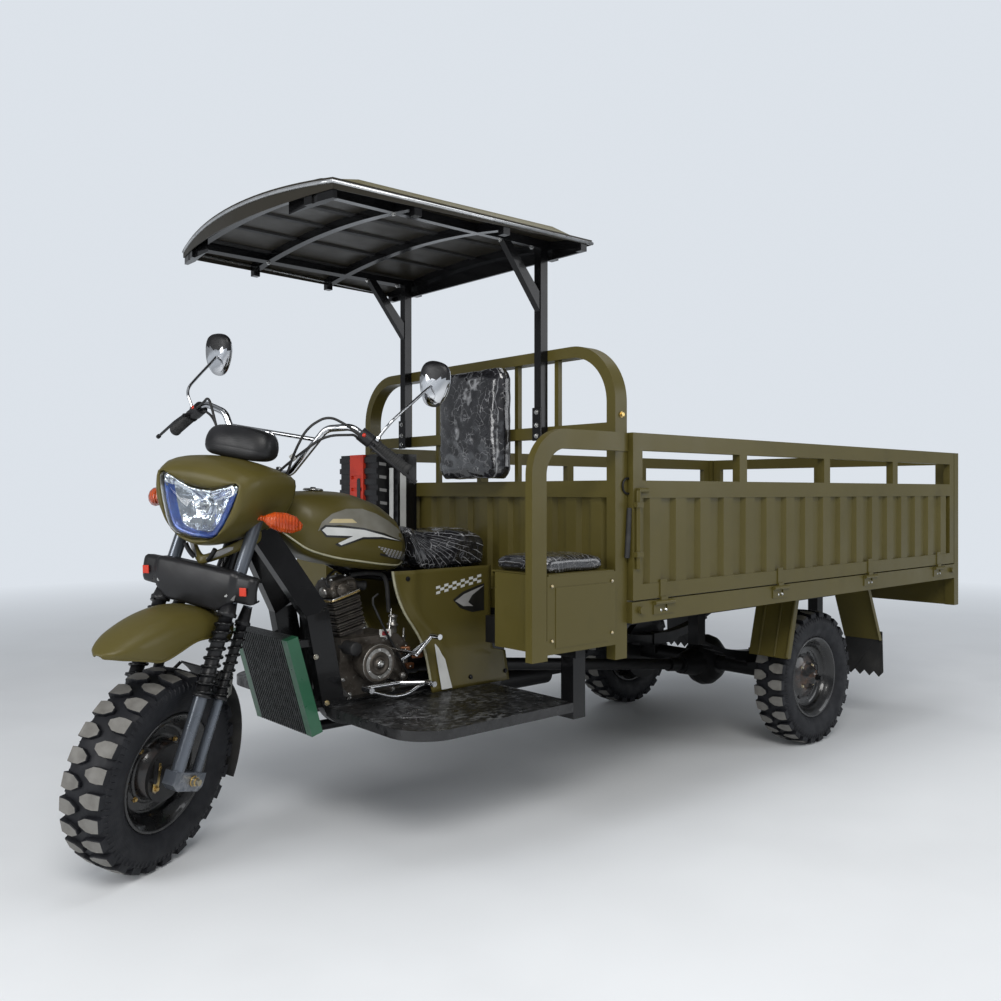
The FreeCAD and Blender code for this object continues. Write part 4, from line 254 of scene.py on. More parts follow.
green = (Look("green_paint", (0.012, 0.092, 0.042), 0.34, Coat_Weight=0.2)
         .mottle((0.010, 0.078, 0.036), 5).gloss(30, 0.26, 0.42).grain(260, 0.08, 0.0006).mat)

look = Look("radiator_fins", (0.012, 0.014, 0.014), 0.4, 0.4)
look.relief(look.ramp(look.noise(1, 0.0, (1, 900, 30)), 0.35, 0.65), 0.6, 0.001)
look.mottle((0.05, 0.055, 0.055), 60)
core = look.mat
red = (Look("red_plastic", (0.56, 0.035, 0.012), 0.34).mottle((0.42, 0.02, 0.008), 12)
       .gloss(30, 0.26, 0.42).grain(300, 0.08, 0.0005).mat)
red_paint = (Look("red_paint", (0.30, 0.008, 0.010), 0.24, Coat_Weight=0.5)
             .mottle((0.20, 0.004, 0.006), 14).gloss(30, 0.16, 0.32).grain(200, 0.06, 0.0006)
             .mat)
white = (Look("white_plastic", (0.62, 0.62, 0.60), 0.4).mottle((0.50, 0.50, 0.47), 14)
         .grain(240, 0.1, 0.0005).gloss(24, 0.3, 0.5).mat)
silver = (Look("silver_trim", (0.50, 0.51, 0.52), 0.28, 0.8).mottle((0.36, 0.37, 0.38), 20)
          .gloss(30, 0.2, 0.4).grain(200, 0.06, 0.0005).mat)
blue = (Look("blue_ring", (0.02, 0.06, 0.30), 0.16, 0.3, Coat_Weight=0.8)
        .mottle((0.06, 0.15, 0.5), 24).gloss(30, 0.1, 0.25).mat)
reflector = (Look("reflector", (0.75, 0.77, 0.80), 0.08, 1.0).cells(90, 0.35, 0.003)
             .gloss(40, 0.05, 0.16).mottle((0.5, 0.52, 0.56), 30).mat)

look = Look("amber_lens", (0.62, 0.085, 0.008), 0.14, Transmission_Weight=0.25, IOR=1.49)
along = look.math("ADD", look.part(0), look.math("MULTIPLY", look.part(1), -0.7))
look.relief(look.math("SINE", look.math("MULTIPLY", along, 620)), 0.6, 0.002)
look.cells(160, 0.2, 0.001).mottle((0.42, 0.04, 0.004), 26)
amber = look.mat
red_lens = (Look("red_lens", (0.42, 0.006, 0.006), 0.12, Transmission_Weight=0.2, IOR=1.49)
            .cells(220, 0.35, 0.0008).mottle((0.28, 0.003, 0.003), 30).mat)
glass = (Look("clear_lens", (0.93, 0.96, 0.98), 0.03, Transmission_Weight=1.0, IOR=1.3)
         .grain(14, 0.05, 0.002, 2.0).gloss(20, 0.01, 0.06).mat)
mirror_glass = (Look("mirror_glass", (0.80, 0.82, 0.84), 0.02, 1.0).gloss(8, 0.01, 0.05)
                .mottle((0.70, 0.72, 0.75), 4).grain(6, 0.02, 0.001).mat)
vinyl = (Look("vinyl", (0.012, 0.012, 0.014), 0.36).cells(520, 0.35, 0.0006)
         .grain(24, 0.25, 0.003).gloss(30, 0.28, 0.46).mottle((0.028, 0.028, 0.032), 10).mat)


def flat_look(name, color, rough, tint, **sockets):
    look = Look(name, color, rough, **sockets)
    look.mottle(tint, 20, 0.4, 0.8).gloss(30, rough, rough + 0.12).grain(260, 0.05, 0.0004)
    return look.mat


decal_white = flat_look("decal_white", (0.60, 0.61, 0.60), 0.3, (0.50, 0.51, 0.50))
decal_silver = flat_look("decal_silver", (0.30, 0.30, 0.30), 0.32, (0.24, 0.24, 0.24))
decal_cream = flat_look("decal_cream", (0.50, 0.42, 0.24), 0.34, (0.42, 0.34, 0.18))
decal_black = flat_look("decal_black", (0.008, 0.008, 0.008), 0.3, (0.016, 0.016, 0.016))
brass = flat_look("brass", (0.55, 0.38, 0.14), 0.28, (0.36, 0.26, 0.12), metal=0.9)
# Black of parts that are black; also used as painted shade in the rear rims' holes and in the
# strips under the roof.
inner_black = flat_look("inner_black", (0.008, 0.008, 0.009), 0.5, (0.02, 0.02, 0.02))
bright = flat_look("bright_steel", (0.55, 0.55, 0.54), 0.2, (0.38, 0.38, 0.37), metal=0.95)
# Painted highlight: a light olive standing for the gleam along the tank's rounded seam and the
# side covers' front beads.
bead_painted_highlight = flat_look("bead_painted_highlight", (0.33, 0.32, 0.22), 0.22, (0.24, 0.23, 0.15),
                       Coat_Weight=0.6)


def make_tyre(name, centre, axis):
    look = Look(name, (0.0045, 0.005, 0.0075), 0.5, Specular_IOR_Level=0.34)
    away = look.off_axis(centre, axis)
    look.mottle((0.009, 0.0098, 0.013), 16)
    look.relief(look.math("SINE", look.math("MULTIPLY", away, 900)), 0.12, 0.0006)
    look.grain(170, 0.3, 0.0008).gloss(30, 0.5, 0.72)
    return look.mat


def make_rim(name, centre, axis):
    """Black steel whose middle is copper-brown."""
    look = Look(name, (0.004, 0.004, 0.0045), 0.16, Coat_Weight=0.5, Coat_Roughness=0.05,
                Specular_IOR_Level=0.4)
    away = look.off_axis(centre, axis)
    look.mottle((0.009, 0.0085, 0.008), 18)
    look.blend(look.math("MULTIPLY", look.ramp(away, 0.09, 0.055), look.ramp(
        look.noise(34), 0.42, 0.66)), (0.07, 0.034, 0.018))
    look.gloss(26, 0.18, 0.42).grain(190, 0.12, 0.0008)
    return look.mat


def dress(mat, *names):
    for name in names:
        slots = frame["nodes"][name].data.materials
        slots.clear()
        slots.append(mat)


spin = Vector(joints["front_wheel_spin"]["axis"])
wheels = {
    "front": (Vector(joints["front_wheel_spin"]["pos_m"]), spin),
    "rear_left": (Vector(joints["rear_wheel_left_spin"]["pos_m"]), Vector((0, 1, 0))),
    "rear_right": (Vector(joints["rear_wheel_right_spin"]["pos_m"]), Vector((0, 1, 0))),
}
for key, tyre_node, rim_node in (("front", "front_tyre", "front_rim"),
                                 ("rear_left", "rear_tyre_left", "rear_rim_left"),
                                 ("rear_right", "rear_tyre_right", "rear_rim_right")):
    dress(make_tyre("tyre_" + key, *wheels[key]), tyre_node)
    dress(make_rim("rim_" + key, *wheels[key]), rim_node)
dress(olive, "headlamp_fairing", "front_mudguard", "lockers", "locker_lid_left", "headboard",
      "bed_frame", "bed_floor", "gate_left", "gate_right", "tailgate", "rear_fenders",
      "tail_panel", "armrest", "canopy_roof", "fuel_tank", "side_covers", "bed_hinges")
dress(black, "main_frame", "canopy_frame", "board_posts", "footboards", "steering_crown",
      "upper_clamp", "locker_lid_right")
dress(dark_steel, "chassis", "rear_axle", "leaf_springs", "exhaust", "propeller_shaft",
      "fork_springs")
dress(plastic, "fork_guard", "instrument_cluster", "air_cleaner", "hand_controls")
dress(rubber, "control_cables")
dress(flap, "front_flap", "fender_flaps")
dress(fork_steel, "fork_legs")
dress(zinc, "front_axle")
dress(inner_black, "front_brake_plate")
dress(cast, "engine_case")
dress(fins, "engine_cylinder")
dress(green, "radiator_tanks")
dress(core, "radiator_core")
dress(red, "air_cleaner_front")
dress(amber, "turn_signals")
dress(red_lens, "tail_lamps")
dress(glass, "headlamp")
dress(chrome, "mirrors", "foot_controls", "handlebar")
dress(vinyl, "driver_seat", "passenger_cushion", "backrest")


# ---------------------------------------------------------------- stage
SKY = (0.72, 0.765, 0.82, 1)      # behind the object and far out on the floor


def make_stage():
    bpy.ops.mesh.primitive_plane_add(size=60, location=(0, 0, 0))
    floor = bpy.context.object
    floor.name = "floor"
    look = Look("floor_paint", (0.80, 0.82, 0.84), 0.55)
    look.mottle((0.76, 0.78, 0.80), 1.2).gloss(3, 0.45, 0.62)
    away = look.off_axis((0.0, 0.0, 0.0), (0.0, 0.0, 1.0))
    glow = look.add("Emission", Strength=1.0, Color=SKY)
    rays = look.add("LightPath").outputs
    looked_at = look.math("MAXIMUM", rays["Is Camera Ray"], rays["Is Glossy Ray"])
    far = look.math("MULTIPLY", look.ramp(away, 3.2, 9.0), looked_at)
    mix = look.add("MixShader")
    look.link(far, mix.inputs[0])
    look.link(look.shader.outputs[0], mix.inputs[1])
    look.link(glow.outputs[0], mix.inputs[2])
    look.link(mix.outputs[0], look.nodes["Material Output"].inputs[0])
    floor.data.materials.append(look.mat)


def make_world():
    world = bpy.data.worlds.new("studio")
    bpy.context.scene.world = world
    world.use_nodes = True
    tree = world.node_tree
    light = tree.nodes["Background"]
    light.inputs["Color"].default_value = (0.86, 0.90, 0.95, 1)
    light.inputs["Strength"].default_value = 0.33
    sky = tree.nodes.new("ShaderNodeBackground")
    sky.inputs["Color"].default_value = SKY
    path = tree.nodes.new("ShaderNodeLightPath")
    mix = tree.nodes.new("ShaderNodeMixShader")
    tree.links.new(path.outputs["Is Camera Ray"], mix.inputs[0])
    tree.links.new(light.outputs[0], mix.inputs[1])
    tree.links.new(sky.outputs[0], mix.inputs[2])
    tree.links.new(mix.outputs[0], tree.nodes["World Output"].inputs[0])


def add_lamp(name, place, target, size, power, color):
    data = bpy.data.lights.new(name, "AREA")
    data.shape = "RECTANGLE"
    data.size, data.size_y = size
    data.energy = power
    data.color = color
    lamp = bpy.data.objects.new(name, data)
    lamp.location = place
    lamp.rotation_euler = (Vector(target) - Vector(place)).to_track_quat("-Z", "Y").to_euler()
    bpy.context.scene.collection.objects.link(lamp)


def make_camera():
    data = bpy.data.cameras.new("photo_camera")
    data.sensor_width = 36
    data.lens = 33.45
    data.shift_y = -0.0085
    camera = bpy.data.objects.new("photo_camera", data)
    camera.location = EYE
    camera.rotation_euler = AHEAD_OF_EYE.to_track_quat("-Z", "Y").to_euler()
    bpy.context.scene.collection.objects.link(camera)
    bpy.context.scene.camera = camera


make_camera()
make_stage()
make_world()
add_lamp("key", (3.6, 4.2, 4.6), (0, 0, 0.7), (3.0, 2.2), 212, (1.0, 0.985, 0.96))
add_lamp("top", (-0.4, 0.6, 5.2), (-0.2, 0, 0.6), (5.0, 2.4), 95, (0.97, 0.98, 1.0))
add_lamp("side", (-3.2, 4.6, 2.2), (-0.8, 0, 0.8), (3.0, 2.4), 60, (0.95, 0.97, 1.0))
add_lamp("front", (5.6, 0.4, 2.0), (1.6, 0, 0.8), (2.0, 2.0), 85, (1.0, 1.0, 1.0))
bpy.context.scene.view_settings.view_transform = "Standard"


# ---------------------------------------------------------------- making pieces
def add_mesh(name, points, faces, mats, body="vehicle", smooth=True):
    mesh = bpy.data.meshes.new(name)
    mesh.from_pydata([tuple(p) for p in points], [], faces)
    mesh.update()
    obj = bpy.data.objects.new(name, mesh)
    bpy.context.scene.collection.objects.link(obj)
    for mat in mats if isinstance(mats, list) else [mats]:
        mesh.materials.append(mat)
    mesh.polygons.foreach_set("use_smooth", [smooth] * len(mesh.polygons))
    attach(obj, body)
    return obj


def modify(obj, kind, **values):
    """Puts a modifier on a piece and returns the piece."""
    modifier = obj.modifiers.new(kind.lower(), kind)
    for key, value in values.items():
        setattr(modifier, key, value)
    return obj


def skins(name, groups, mats, body="vehicle", closed=True, caps="", smooth=True):
    """Surfaces through groups of rings, all one piece; caps has "a" and or "b"."""
    points, faces = [], []
    for rings in groups:
        start, count = len(points), len(rings[0])
        points += [p for ring in rings for p in ring]
        for row in range(len(rings) - 1):
            for k in range(count if closed else count - 1):
                a = start + row * count + k
                b = start + row * count + (k + 1) % count
                faces.append((a, b, b + count, a + count))
        if "a" in caps:
            faces.append(tuple(range(start, start + count))[::-1])
        if "b" in caps:
            faces.append(tuple(range(len(points) - count, len(points))))
    return add_mesh(name, points, faces, mats, body, smooth)


def skin(name, rings, mats, body="vehicle", **ways):
    return skins(name, [rings], mats, body, **ways)


def tube(name, points, radius, mat, body="vehicle", closed=False, smooth=True, steps=6):
    """A round wire, hose or bead along a smooth or a broken line."""
    curve = bpy.data.curves.new(name, "CURVE")
    curve.dimensions = "3D"
    curve.bevel_depth = radius
    curve.bevel_resolution = 3
    curve.use_fill_caps = True
    spline = curve.splines.new("NURBS" if smooth else "POLY")
    spline.points.add(len(points) - 1)
    for knot, point in zip(spline.points, points):
        knot.co = (*point, 1.0)
    if smooth:
        spline.order_u = 3
        spline.use_endpoint_u = not closed
    spline.use_cyclic_u = closed
    spline.resolution_u = steps
    curve.materials.append(mat)
    maker = bpy.data.objects.new(name, curve)
    mesh = bpy.data.meshes.new_from_object(maker)
    bpy.data.objects.remove(maker)
    bpy.data.curves.remove(curve)
    obj = bpy.data.objects.new(name, mesh)
    bpy.context.scene.collection.objects.link(obj)
    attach(obj, body)
    return obj


def catmull(p, q, r, s, t):
    """A place between q and r on the smooth curve through four values."""
    return 0.5 * (2 * q + (r - p) * t + (2 * p - 5 * q + 4 * r - s) * t * t
                  + (3 * q - p - 3 * r + s) * t ** 3)


def spline_values(table, share):
    """Catmull-Rom through rows of (place, values...), read at a place."""
    rows = [table[0]] + list(table) + [table[-1]]
    for index in range(1, len(rows) - 2):
        if share <= rows[index + 1][0] or index == len(rows) - 3:
            break
    a, b, c, d = rows[index - 1:index + 3]
    t = (share - b[0]) / (c[0] - b[0])
    return [catmull(*four, t) for four in zip(a[1:], b[1:], c[1:], d[1:])]


def rounded(points, steps):
    """A closed Catmull-Rom line through flat or solid points."""
    count = len(points)
    return [catmull(*(Vector(points[(k + j) % count]) for j in (-1, 0, 1, 2)), step / steps)
            for k in range(count) for step in range(steps)]


def both_sides(half):
    """A closed outline from its half with y above 0."""
    return half + [(-y, z) for y, z in half[-2:0:-1]]


def section(half, wide, low, high):
    """A closed outline from shares of its half width and its height."""
    return both_sides([(wide * a, low + (high - low) * b) for a, b in half])


def circle(count, radius=1.0, turn=0.0):
    """Points of a circle; turn is in steps from one point to the next."""
    angles = [2 * math.pi * (k + turn) / count for k in range(count)]
    return [(radius * math.cos(angle), radius * math.sin(angle)) for angle in angles]


def radial(outline, centre, angle):
    """How far a closed outline lies from a centre in one direction."""
    way = Vector((math.sin(angle), math.cos(angle)))
    side = Vector((way.y, -way.x))
    best = 0.0
    for p, q in zip(outline, outline[1:] + outline[:1]):
        a, b = Vector(p) - centre, Vector(q) - centre
        low, high = a.dot(side), b.dot(side)
        if low * high <= 0 and low != high:
            t = low / (low - high)
            best = max(best, (a + (b - a) * t).dot(way))
    return best


def frame_at(point, normal):
    """A place whose Z is the normal."""
    return Matrix.Translation(point) @ Vector(normal).to_track_quat("Z", "Y").to_matrix().to_4x4()


def lathe(name, profile, place, mat, body="vehicle", count=24, smooth=True, caps="ab"):
    """Turns (radius, height) pairs in millimetres about a place's own Z."""
    rings = [[place @ Vector((x, y, height / 1000)) for x, y in circle(count, radius / 1000)]
             for radius, height in profile]
    return skin(name, rings, mat, body, caps=caps, smooth=smooth)


# corners, radius and height of a hexagon head's rings on its washer
BOLT_RINGS = ((12, 1.0, 0.0), (12, 1.0, 0.16), (12, 0.94, 0.2), (6, 0.78, 0.2), (6, 0.78, 0.72),
              (6, 0.66, 0.84))


def bolts(name, places, mat, body="vehicle"):
    """Hexagon heads on washers, all one piece; places are (point, normal, size)."""
    points, faces = [], []
    for point, normal, size in places:
        place = frame_at(point, normal)
        start = []
        for count, radius, height in BOLT_RINGS:
            start.append(len(points))
            points += [place @ Vector((x, y, size * height))
                       for x, y in circle(count, size * radius)]
        for row in (0, 1):
            for k in range(12):
                a, b = start[row] + k, start[row] + (k + 1) % 12
                faces.append((a, b, b + 12, a + 12))
        for k in range(6):
            for j in (0, 1):
                a = start[2] + 2 * k + j
                b = start[2] + (2 * k + j + 1) % 12
                faces.append((a, b, start[3] + (k + j) % 6))
            a, b = start[3] + k, start[3] + (k + 1) % 6
            faces.append((start[2] + (2 * k + 1) % 12, b, a))
            for row in (3, 4):
                c, d = start[row] + k, start[row] + (k + 1) % 6
                faces.append((c, d, d + 6, c + 6))
        faces.append(tuple(start[5] + k for k in range(6)))
    return add_mesh(name, points, faces, mat, body, smooth=False)


def slab(name, outline, place, depth, mat, body="vehicle", bevel=0.0015):
    """A flat plate from an outline in millimetres, raised along the place's Z."""
    rings = [[place @ Vector((x / 1000, y / 1000, z)) for x, y in outline]
             for z in (0.0, depth / 1000)]
    return modify(skin(name, rings, mat, body, caps="ab", smooth=False), "BEVEL", width=bevel,
                  segments=2)


def box_outline(x0, x1, y0, y1):
    """Corners of a rectangle, for slab."""
    return [(x0, y0), (x1, y0), (x1, y1), (x0, y1)]


def tree_from(obj):
    mesh = obj.data
    return BVHTree.FromPolygons([v.co.copy() for v in mesh.vertices],
                                [list(face.vertices) for face in mesh.polygons])


def tree_of(node):
    return tree_from(frame["nodes"][node])


def sight(u, v):
    """Direction from the eye through a place in the photograph's frame."""
    return (AHEAD_OF_EYE + RIGHT_OF_EYE * ((u - MIDDLE_U) / FOCUS)
            + Vector((0, 0, (HORIZON_V - v) / FOCUS))).normalized()


def seen(u, v, y):
    """The point seen at a place of the photograph, at a width in millimetres."""
    way = sight(u, v)
    return EYE + way * ((y / 1000 - EYE.y) / way.y)


def seen_line(*places):
    return [seen(*place) for place in places]


def decal(name, outlines, tree, mat, step=4.0, lift=0.0006, both=True):
    """Thin foil on a curved surface, its outline given as seen from the front left."""
    mesh = bmesh.new()
    for outline in outlines:
        mesh.faces.new([mesh.verts.new((u, v, 0)) for u, v in outline])
    us = [u for outline in outlines for u, v in outline]
    vs = [v for outline in outlines for u, v in outline]
    for axis, low, high in ((0, min(us), max(us)), (1, min(vs), max(vs))):
        for k in range(1, int((high - low) / step) + 1):
            place, way = [0, 0, 0], [0, 0, 0]
            place[axis], way[axis] = low + k * step, 1
            bmesh.ops.bisect_plane(mesh, geom=mesh.verts[:] + mesh.edges[:] + mesh.faces[:],
                                   plane_co=place, plane_no=way)
    mesh.verts.index_update()
    points = []
    for vert in mesh.verts:
        hit, normal, _, _ = tree.ray_cast(EYE, sight(vert.co.x, vert.co.y))
        if hit is None:
            hit, normal, _, _ = tree.find_nearest(EYE + sight(vert.co.x, vert.co.y) * 3.2)
        if normal.dot(EYE - hit) < 0:
            normal = -normal
        points.append(hit + normal * lift)
    faces = [[v.index for v in face.verts][::-1] for face in mesh.faces]
    mesh.free()
    if both:
        start = len(points)
        points += [Vector((p.x, -p.y, p.z)) for p in points]
        faces += [[start + k for k in face[::-1]] for face in faces]
    return add_mesh(name, points, faces, mat)


# ---------------------------------------------------------------- front end
HUB = steer_matrix.inverted() @ wheels["front"][0]


def fork(along, ahead, across):
    """A point by its place along, ahead of and across the fork, in millimetres."""
    up = Vector((-math.sin(RAKE), 0, math.cos(RAKE))) * along
    front = Vector((math.cos(RAKE), 0, math.sin(RAKE))) * ahead
    return steer_matrix @ (HUB + (up + front + Vector((0, across, 0))) / 1000)


FORK_UP = fork(1, 0, 0) - fork(0, 0, 0)
LAMP_MID = Vector((0, 1044))
lamp_side = [(0.0, 0.80), (0.26, 0.81), (0.55, 0.87), (0.88, 0.98), (1.0, 0.99), (0.98, 0.84),
             (0.86, 0.55), (0.70, 0.25), (0.57, 0.08), (0.40, 0.01), (0.0, -0.02)]
lamp_outline = both_sides([(136 * a, 955 + 178 * b) for a, b in lamp_side])
RING = 72                         # points of each ring round the lamp


def ring_of(outline, scale=1.0, grow=0.0):
    """Where an outline lies round the lamp's middle, evenly by angle."""
    out = []
    for k in range(RING):
        angle = 2 * math.pi * k / RING
        far = radial(outline, LAMP_MID, angle) * scale + grow
        out.append((far * math.sin(angle), LAMP_MID.y + far * math.cos(angle)))
    return out


def steer_ring(x, pairs):
    """Pairs of width and height at one place along the steering's length."""
    return [steer_at(x, y, z) for y, z in pairs]


def lamp_rings(*stations):
    """Rings of the lamp's outline, each from its scale and its place ahead."""
    return [steer_ring(x, ring_of(lamp_outline, scale)) for scale, x in stations]


def make_fairing():
    side = [(0.0, 1.0), (0.3, 0.995), (0.6, 0.97), (0.86, 0.93), (1.0, 0.85), (0.985, 0.6),
            (0.86, 0.4), (0.62, 0.2), (0.3, 0.05), (0.0, 0.0)]
    # x, half width, bottom, top of each station
    stations = [(2335, 161, 952, 1160), (2380, 166, 944, 1172), (2430, 168, 936, 1180),
                (2480, 166, 930, 1180), (2520, 161, 930, 1175), (2552, 153, 934, 1163),
                (2572, 145, 940, 1149)]
    rings = []
    for k in range(25):
        x = 2335 + (2572 - 2335) * k / 24
        last = ring_of(rounded(section(side, *spline_values(stations, x)), 4))
        rings.append(steer_ring(x, last))
    last = ring_of(last)
    mouth = ring_of(lamp_outline, 1.0, 3.5)
    for share, x in ((0.35, 2577), (0.7, 2578), (0.93, 2574), (1.0, 2566), (1.02, 2548)):
        rings.append(steer_ring(x, [(a[0] + (b[0] - a[0]) * share, a[1] + (b[1] - a[1]) * share)
                                    for a, b in zip(last, mouth)]))
    shell = skin("fairing_shell", rings, olive, "steering")
    modify(shell, "SOLIDIFY", thickness=0.003, offset=-1)
    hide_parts("headlamp_fairing")
    edge = steer_ring(2335, ring_of(rounded(section(side, 161, 946, 1160), 4)))[::3]
    tube("fairing_rear_bead", edge, 0.0035, olive, "steering", closed=True)


def make_chin():
    """Chin blade with its grey inserts and two struts."""
    rings, insets = [], {1: [], -1: []}
    for k in range(31):
        t = -1 + k / 15
        far = abs(t)
        x, y, z = 2524 - 92 * far ** 1.35, 128 * t, 884 + 84 * far ** 1.25
        deep = 13 + 5 * far
        outline = [(6, -deep), (9, -2), (4, deep), (-8, deep), (-10, -deep * 0.6)]
        rings.append([steer_at(x + dx, y, z + dz) for dx, dz in rounded(outline, 3)])
        if 0.1 < far < 0.66:
            share = 1 - ((far - 0.38) / 0.3) ** 2
            insets[1 if t > 0 else -1].append(
                [steer_at(x + 7 + 3.5 * math.sin(math.pi * j / 4), y,
                          z - deep * 0.75 * share + deep * 1.5 * share * j / 4)
                 for j in range(5)])
    modify(skin("chin_blade", rings, olive, "steering", caps="ab"), "SUBSURF", levels=1)
    for hand in (1, -1):
        skin("chin_insert_%d" % (hand > 0), insets[hand], decal_silver, "steering",
             closed=False)
        tube("chin_strut_%d" % (hand > 0),
             [steer_at(x, y * hand, z) for x, y, z in
              ((2538, 52, 926), (2535, 40, 902), (2526, 24, 888))], 0.007, plastic, "steering")


def make_headlamp():
    lens = skin("headlamp_lens", lamp_rings(
        (1.0, 2562), (0.985, 2572), (0.95, 2583), (0.86, 2595), (0.7, 2604), (0.5, 2610),
        (0.3, 2613), (0.1, 2615)), glass, "steering", caps="b")
    modify(lens, "SOLIDIFY", thickness=0.0022, offset=-1)
    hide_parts("headlamp")
    ring = skin("headlamp_ring", lamp_rings(
        (0.985, 2562), (0.95, 2572), (0.86, 2576), (0.79, 2570), (0.75, 2556), (0.73, 2548)),
                [blue, reflector], "steering")
    bright_half = 13                  # points of bare reflector either side of the top
    for face in ring.data.polygons:
        spot = face.index % RING
        face.material_index = 0 if bright_half <= spot < RING - bright_half else 1
    bowl = skin("headlamp_bowl", lamp_rings(
        (0.76, 2556), (0.70, 2546), (0.6, 2537), (0.45, 2529), (0.28, 2524), (0.12, 2522)),
                reflector, "steering", caps="b")
    modify(bowl, "SOLIDIFY", thickness=0.002, offset=1)
    place = frame_at(steer_at(2520, -6, 1040), steer_way(1, 0, 0))
    lathe("headlamp_bulb", [(15, 0), (15, 8), (10, 12), (9, 30), (7, 38), (3, 42)], place,
          bright, "steering")
    lathe("headlamp_hood", [(26, 3), (25, 12), (20, 14), (19, 6)], place, reflector, "steering")
    for hand in (1, -1):
        for k in range(3):
            ends = [steer_at(2576, (88 + 9 * k) * hand, 1106 - 9 * k),
                    steer_at(2572, (112 + 5 * k) * hand, 1121 - 11 * k)]
            tube("lamp_bar_%d_%d" % (k, hand > 0), ends, 0.0028, chrome, "steering",
                 smooth=False)
    housing = skin("headlamp_housing", lamp_rings(
        (0.99, 2560), (0.97, 2530), (0.8, 2508), (0.3, 2500)), plastic, "steering", caps="b")
    modify(housing, "SOLIDIFY", thickness=0.003, offset=1)


def make_mudguard():
    widths = [(0.0, 0.16), (0.03, 0.42), (0.08, 0.62), (0.16, 0.82), (0.28, 0.95), (0.45, 1.0),
              (0.75, 1.0), (1.0, 0.98)]
    skirts = [(0.0, 0.10), (0.06, 0.34), (0.14, 0.62), (0.26, 0.98), (0.4, 1.0), (0.62, 0.82),
              (1.0, 0.74)]
    across = [(1.0, 1.0), (0.975, 0.62), (0.9, 0.34), (0.74, 0.14), (0.5, 0.05), (0.25, 0.012),
              (0.0, 0.0)]
    across = across + [(-a, b) for a, b in across[-2::-1]]
    rings = []
    for k in range(45):
        share = (k / 44) ** 1.25
        angle = math.radians(56 + 60 * share)
        half = 88 * spline_values(widths, share)[0]
        skirt = 94 * spline_values(skirts, share)[0]
        ring = []
        for a, b in across:
            far = 468 - skirt * b
            ring.append(steer_matrix @ (HUB + Vector((far * math.cos(angle), half * a,
                                                      far * math.sin(angle))) / 1000))
        rings.append(ring)
    shell = skin("mudguard_shell", rings, olive, "steering", closed=False)
    modify(shell, "SOLIDIFY", thickness=0.003, offset=-1)
    modify(shell, "SUBSURF", levels=1, render_levels=1)
    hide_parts("front_mudguard")
    edge = [ring[0] for ring in rings[::-1]] + rings[0][1:-1] + [ring[-1] for ring in rings]
    tube("mudguard_bead", edge[::2], 0.0036, olive, "steering")
    stay = []
    for height, half, deep in ((466, 30, 16), (480, 28, 14), (504, 26, 14)):
        stay.append([fork(height, deep * b, half * a) for a, b in
                     ((1, 1), (-1, 1), (-1, -1), (1, -1))])
    skin("mudguard_stay", stay, black, "steering", caps="ab", smooth=False)
    spots = [(fork(469, 6 * s, 18 * s), FORK_UP, 0.008) for s in (1, -1)]
    bolts("mudguard_bolts", spots, zinc, "steering")


def make_pod():
    rings = []
    # height, half length, half width, lean forward
    table = [(0, 36, 84, 4), (6, 44, 98, 4), (14, 50, 110, 2), (30, 53, 116, 0),
             (33, 51.6, 114.4, 0), (36, 53, 116, 0), (56, 52, 116, -2), (76, 46, 110, -4),
             (88, 38, 102, -6), (95, 28, 90, -8), (98, 14, 60, -8)]
    for height, long, wide, lean in table:
        ring = []
        for c, s in circle(48):
            x = 2395 + lean + long * math.copysign(abs(c) ** 0.62, c)
            y = wide * math.copysign(abs(s) ** 0.55, s)
            sag = 10 * (y / 117) ** 2 * height / 98
            tilt = (x - 2395) * 0.14
            ring.append(steer_at(x, y, 1180.5 + height - sag + tilt * height / 98))
        rings.append(ring)
    pod = skin("instrument_pod", rings, plastic, "steering", caps="ab")
    modify(pod, "SUBSURF", levels=1, render_levels=1)
    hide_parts("instrument_cluster")
    for k, y in enumerate((52, -52)):
        place = frame_at(steer_at(2346, y, 1236), steer_way(-0.94, 0, 0.34))
        lathe("dial_rim_%d" % k, [(38, 0), (40, 5), (37, 8), (34, 6), (33, 2)], place, chrome,
              "steering", count=36)
        lathe("dial_face_%d" % k, [(34, 1), (34, 3.4), (2, 3.6)], place, inner_black, "steering",
              count=36)
        marks = []
        for j in range(11):
            turn = place @ Matrix.Rotation(math.radians(130 - 26 * j), 4, "Z")
            marks.append([[turn @ Vector((0.0009 * a, 0.029 + 0.003 * b, 0.0042))
                           for a, b in row] for row in (((-1, -1), (1, -1)), ((-1, 1), (1, 1)))])
        skins("dial_marks_%d" % k, marks, decal_white, "steering", closed=False)
        tube("dial_hand_%d" % k, [place @ Vector((0, 0, 0.005)),
                                  place @ Vector((-0.018, -0.016, 0.005))], 0.0009, red,
             "steering", smooth=False)
        lathe("dial_glass_%d" % k, [(36, 6.2), (30, 7.4), (8, 8)], place, glass, "steering",
              count=36)


make_fairing()
make_chin()
make_headlamp()
make_mudguard()
make_pod()


# ---------------------------------------------------------------- wheels
tread_top = (Look("tread_top", (0.165, 0.16, 0.148), 0.75)
             .mottle((0.115, 0.11, 0.10), 30, 0.4, 0.7).grain(120, 0.3, 0.0008)
             .gloss(40, 0.6, 0.8).mat)
# across and along, from the wheel's middle line out to the shoulder
lug_shape = [(3, -7), (25, -21), (44, -23), (66, -22), (66, 18), (46, 21), (27, 20), (5, 7)]
LUG_MIDDLE = 38                   # where a lug's slope to its top starts from
LUG_COUNT, RIB_COUNT = 26, 88     # on each side of the tyre
TREAD_RADIUS = 280
tyre_section = [(171, 50), (178, 58), (192, 65), (210, 69.5), (228, 71), (244, 70), (256, 66),
                (264, 58), (268, 42), (270, 22), (270.5, 0)]
tyre_section += [(r, -a) for r, a in tyre_section[-2::-1]]


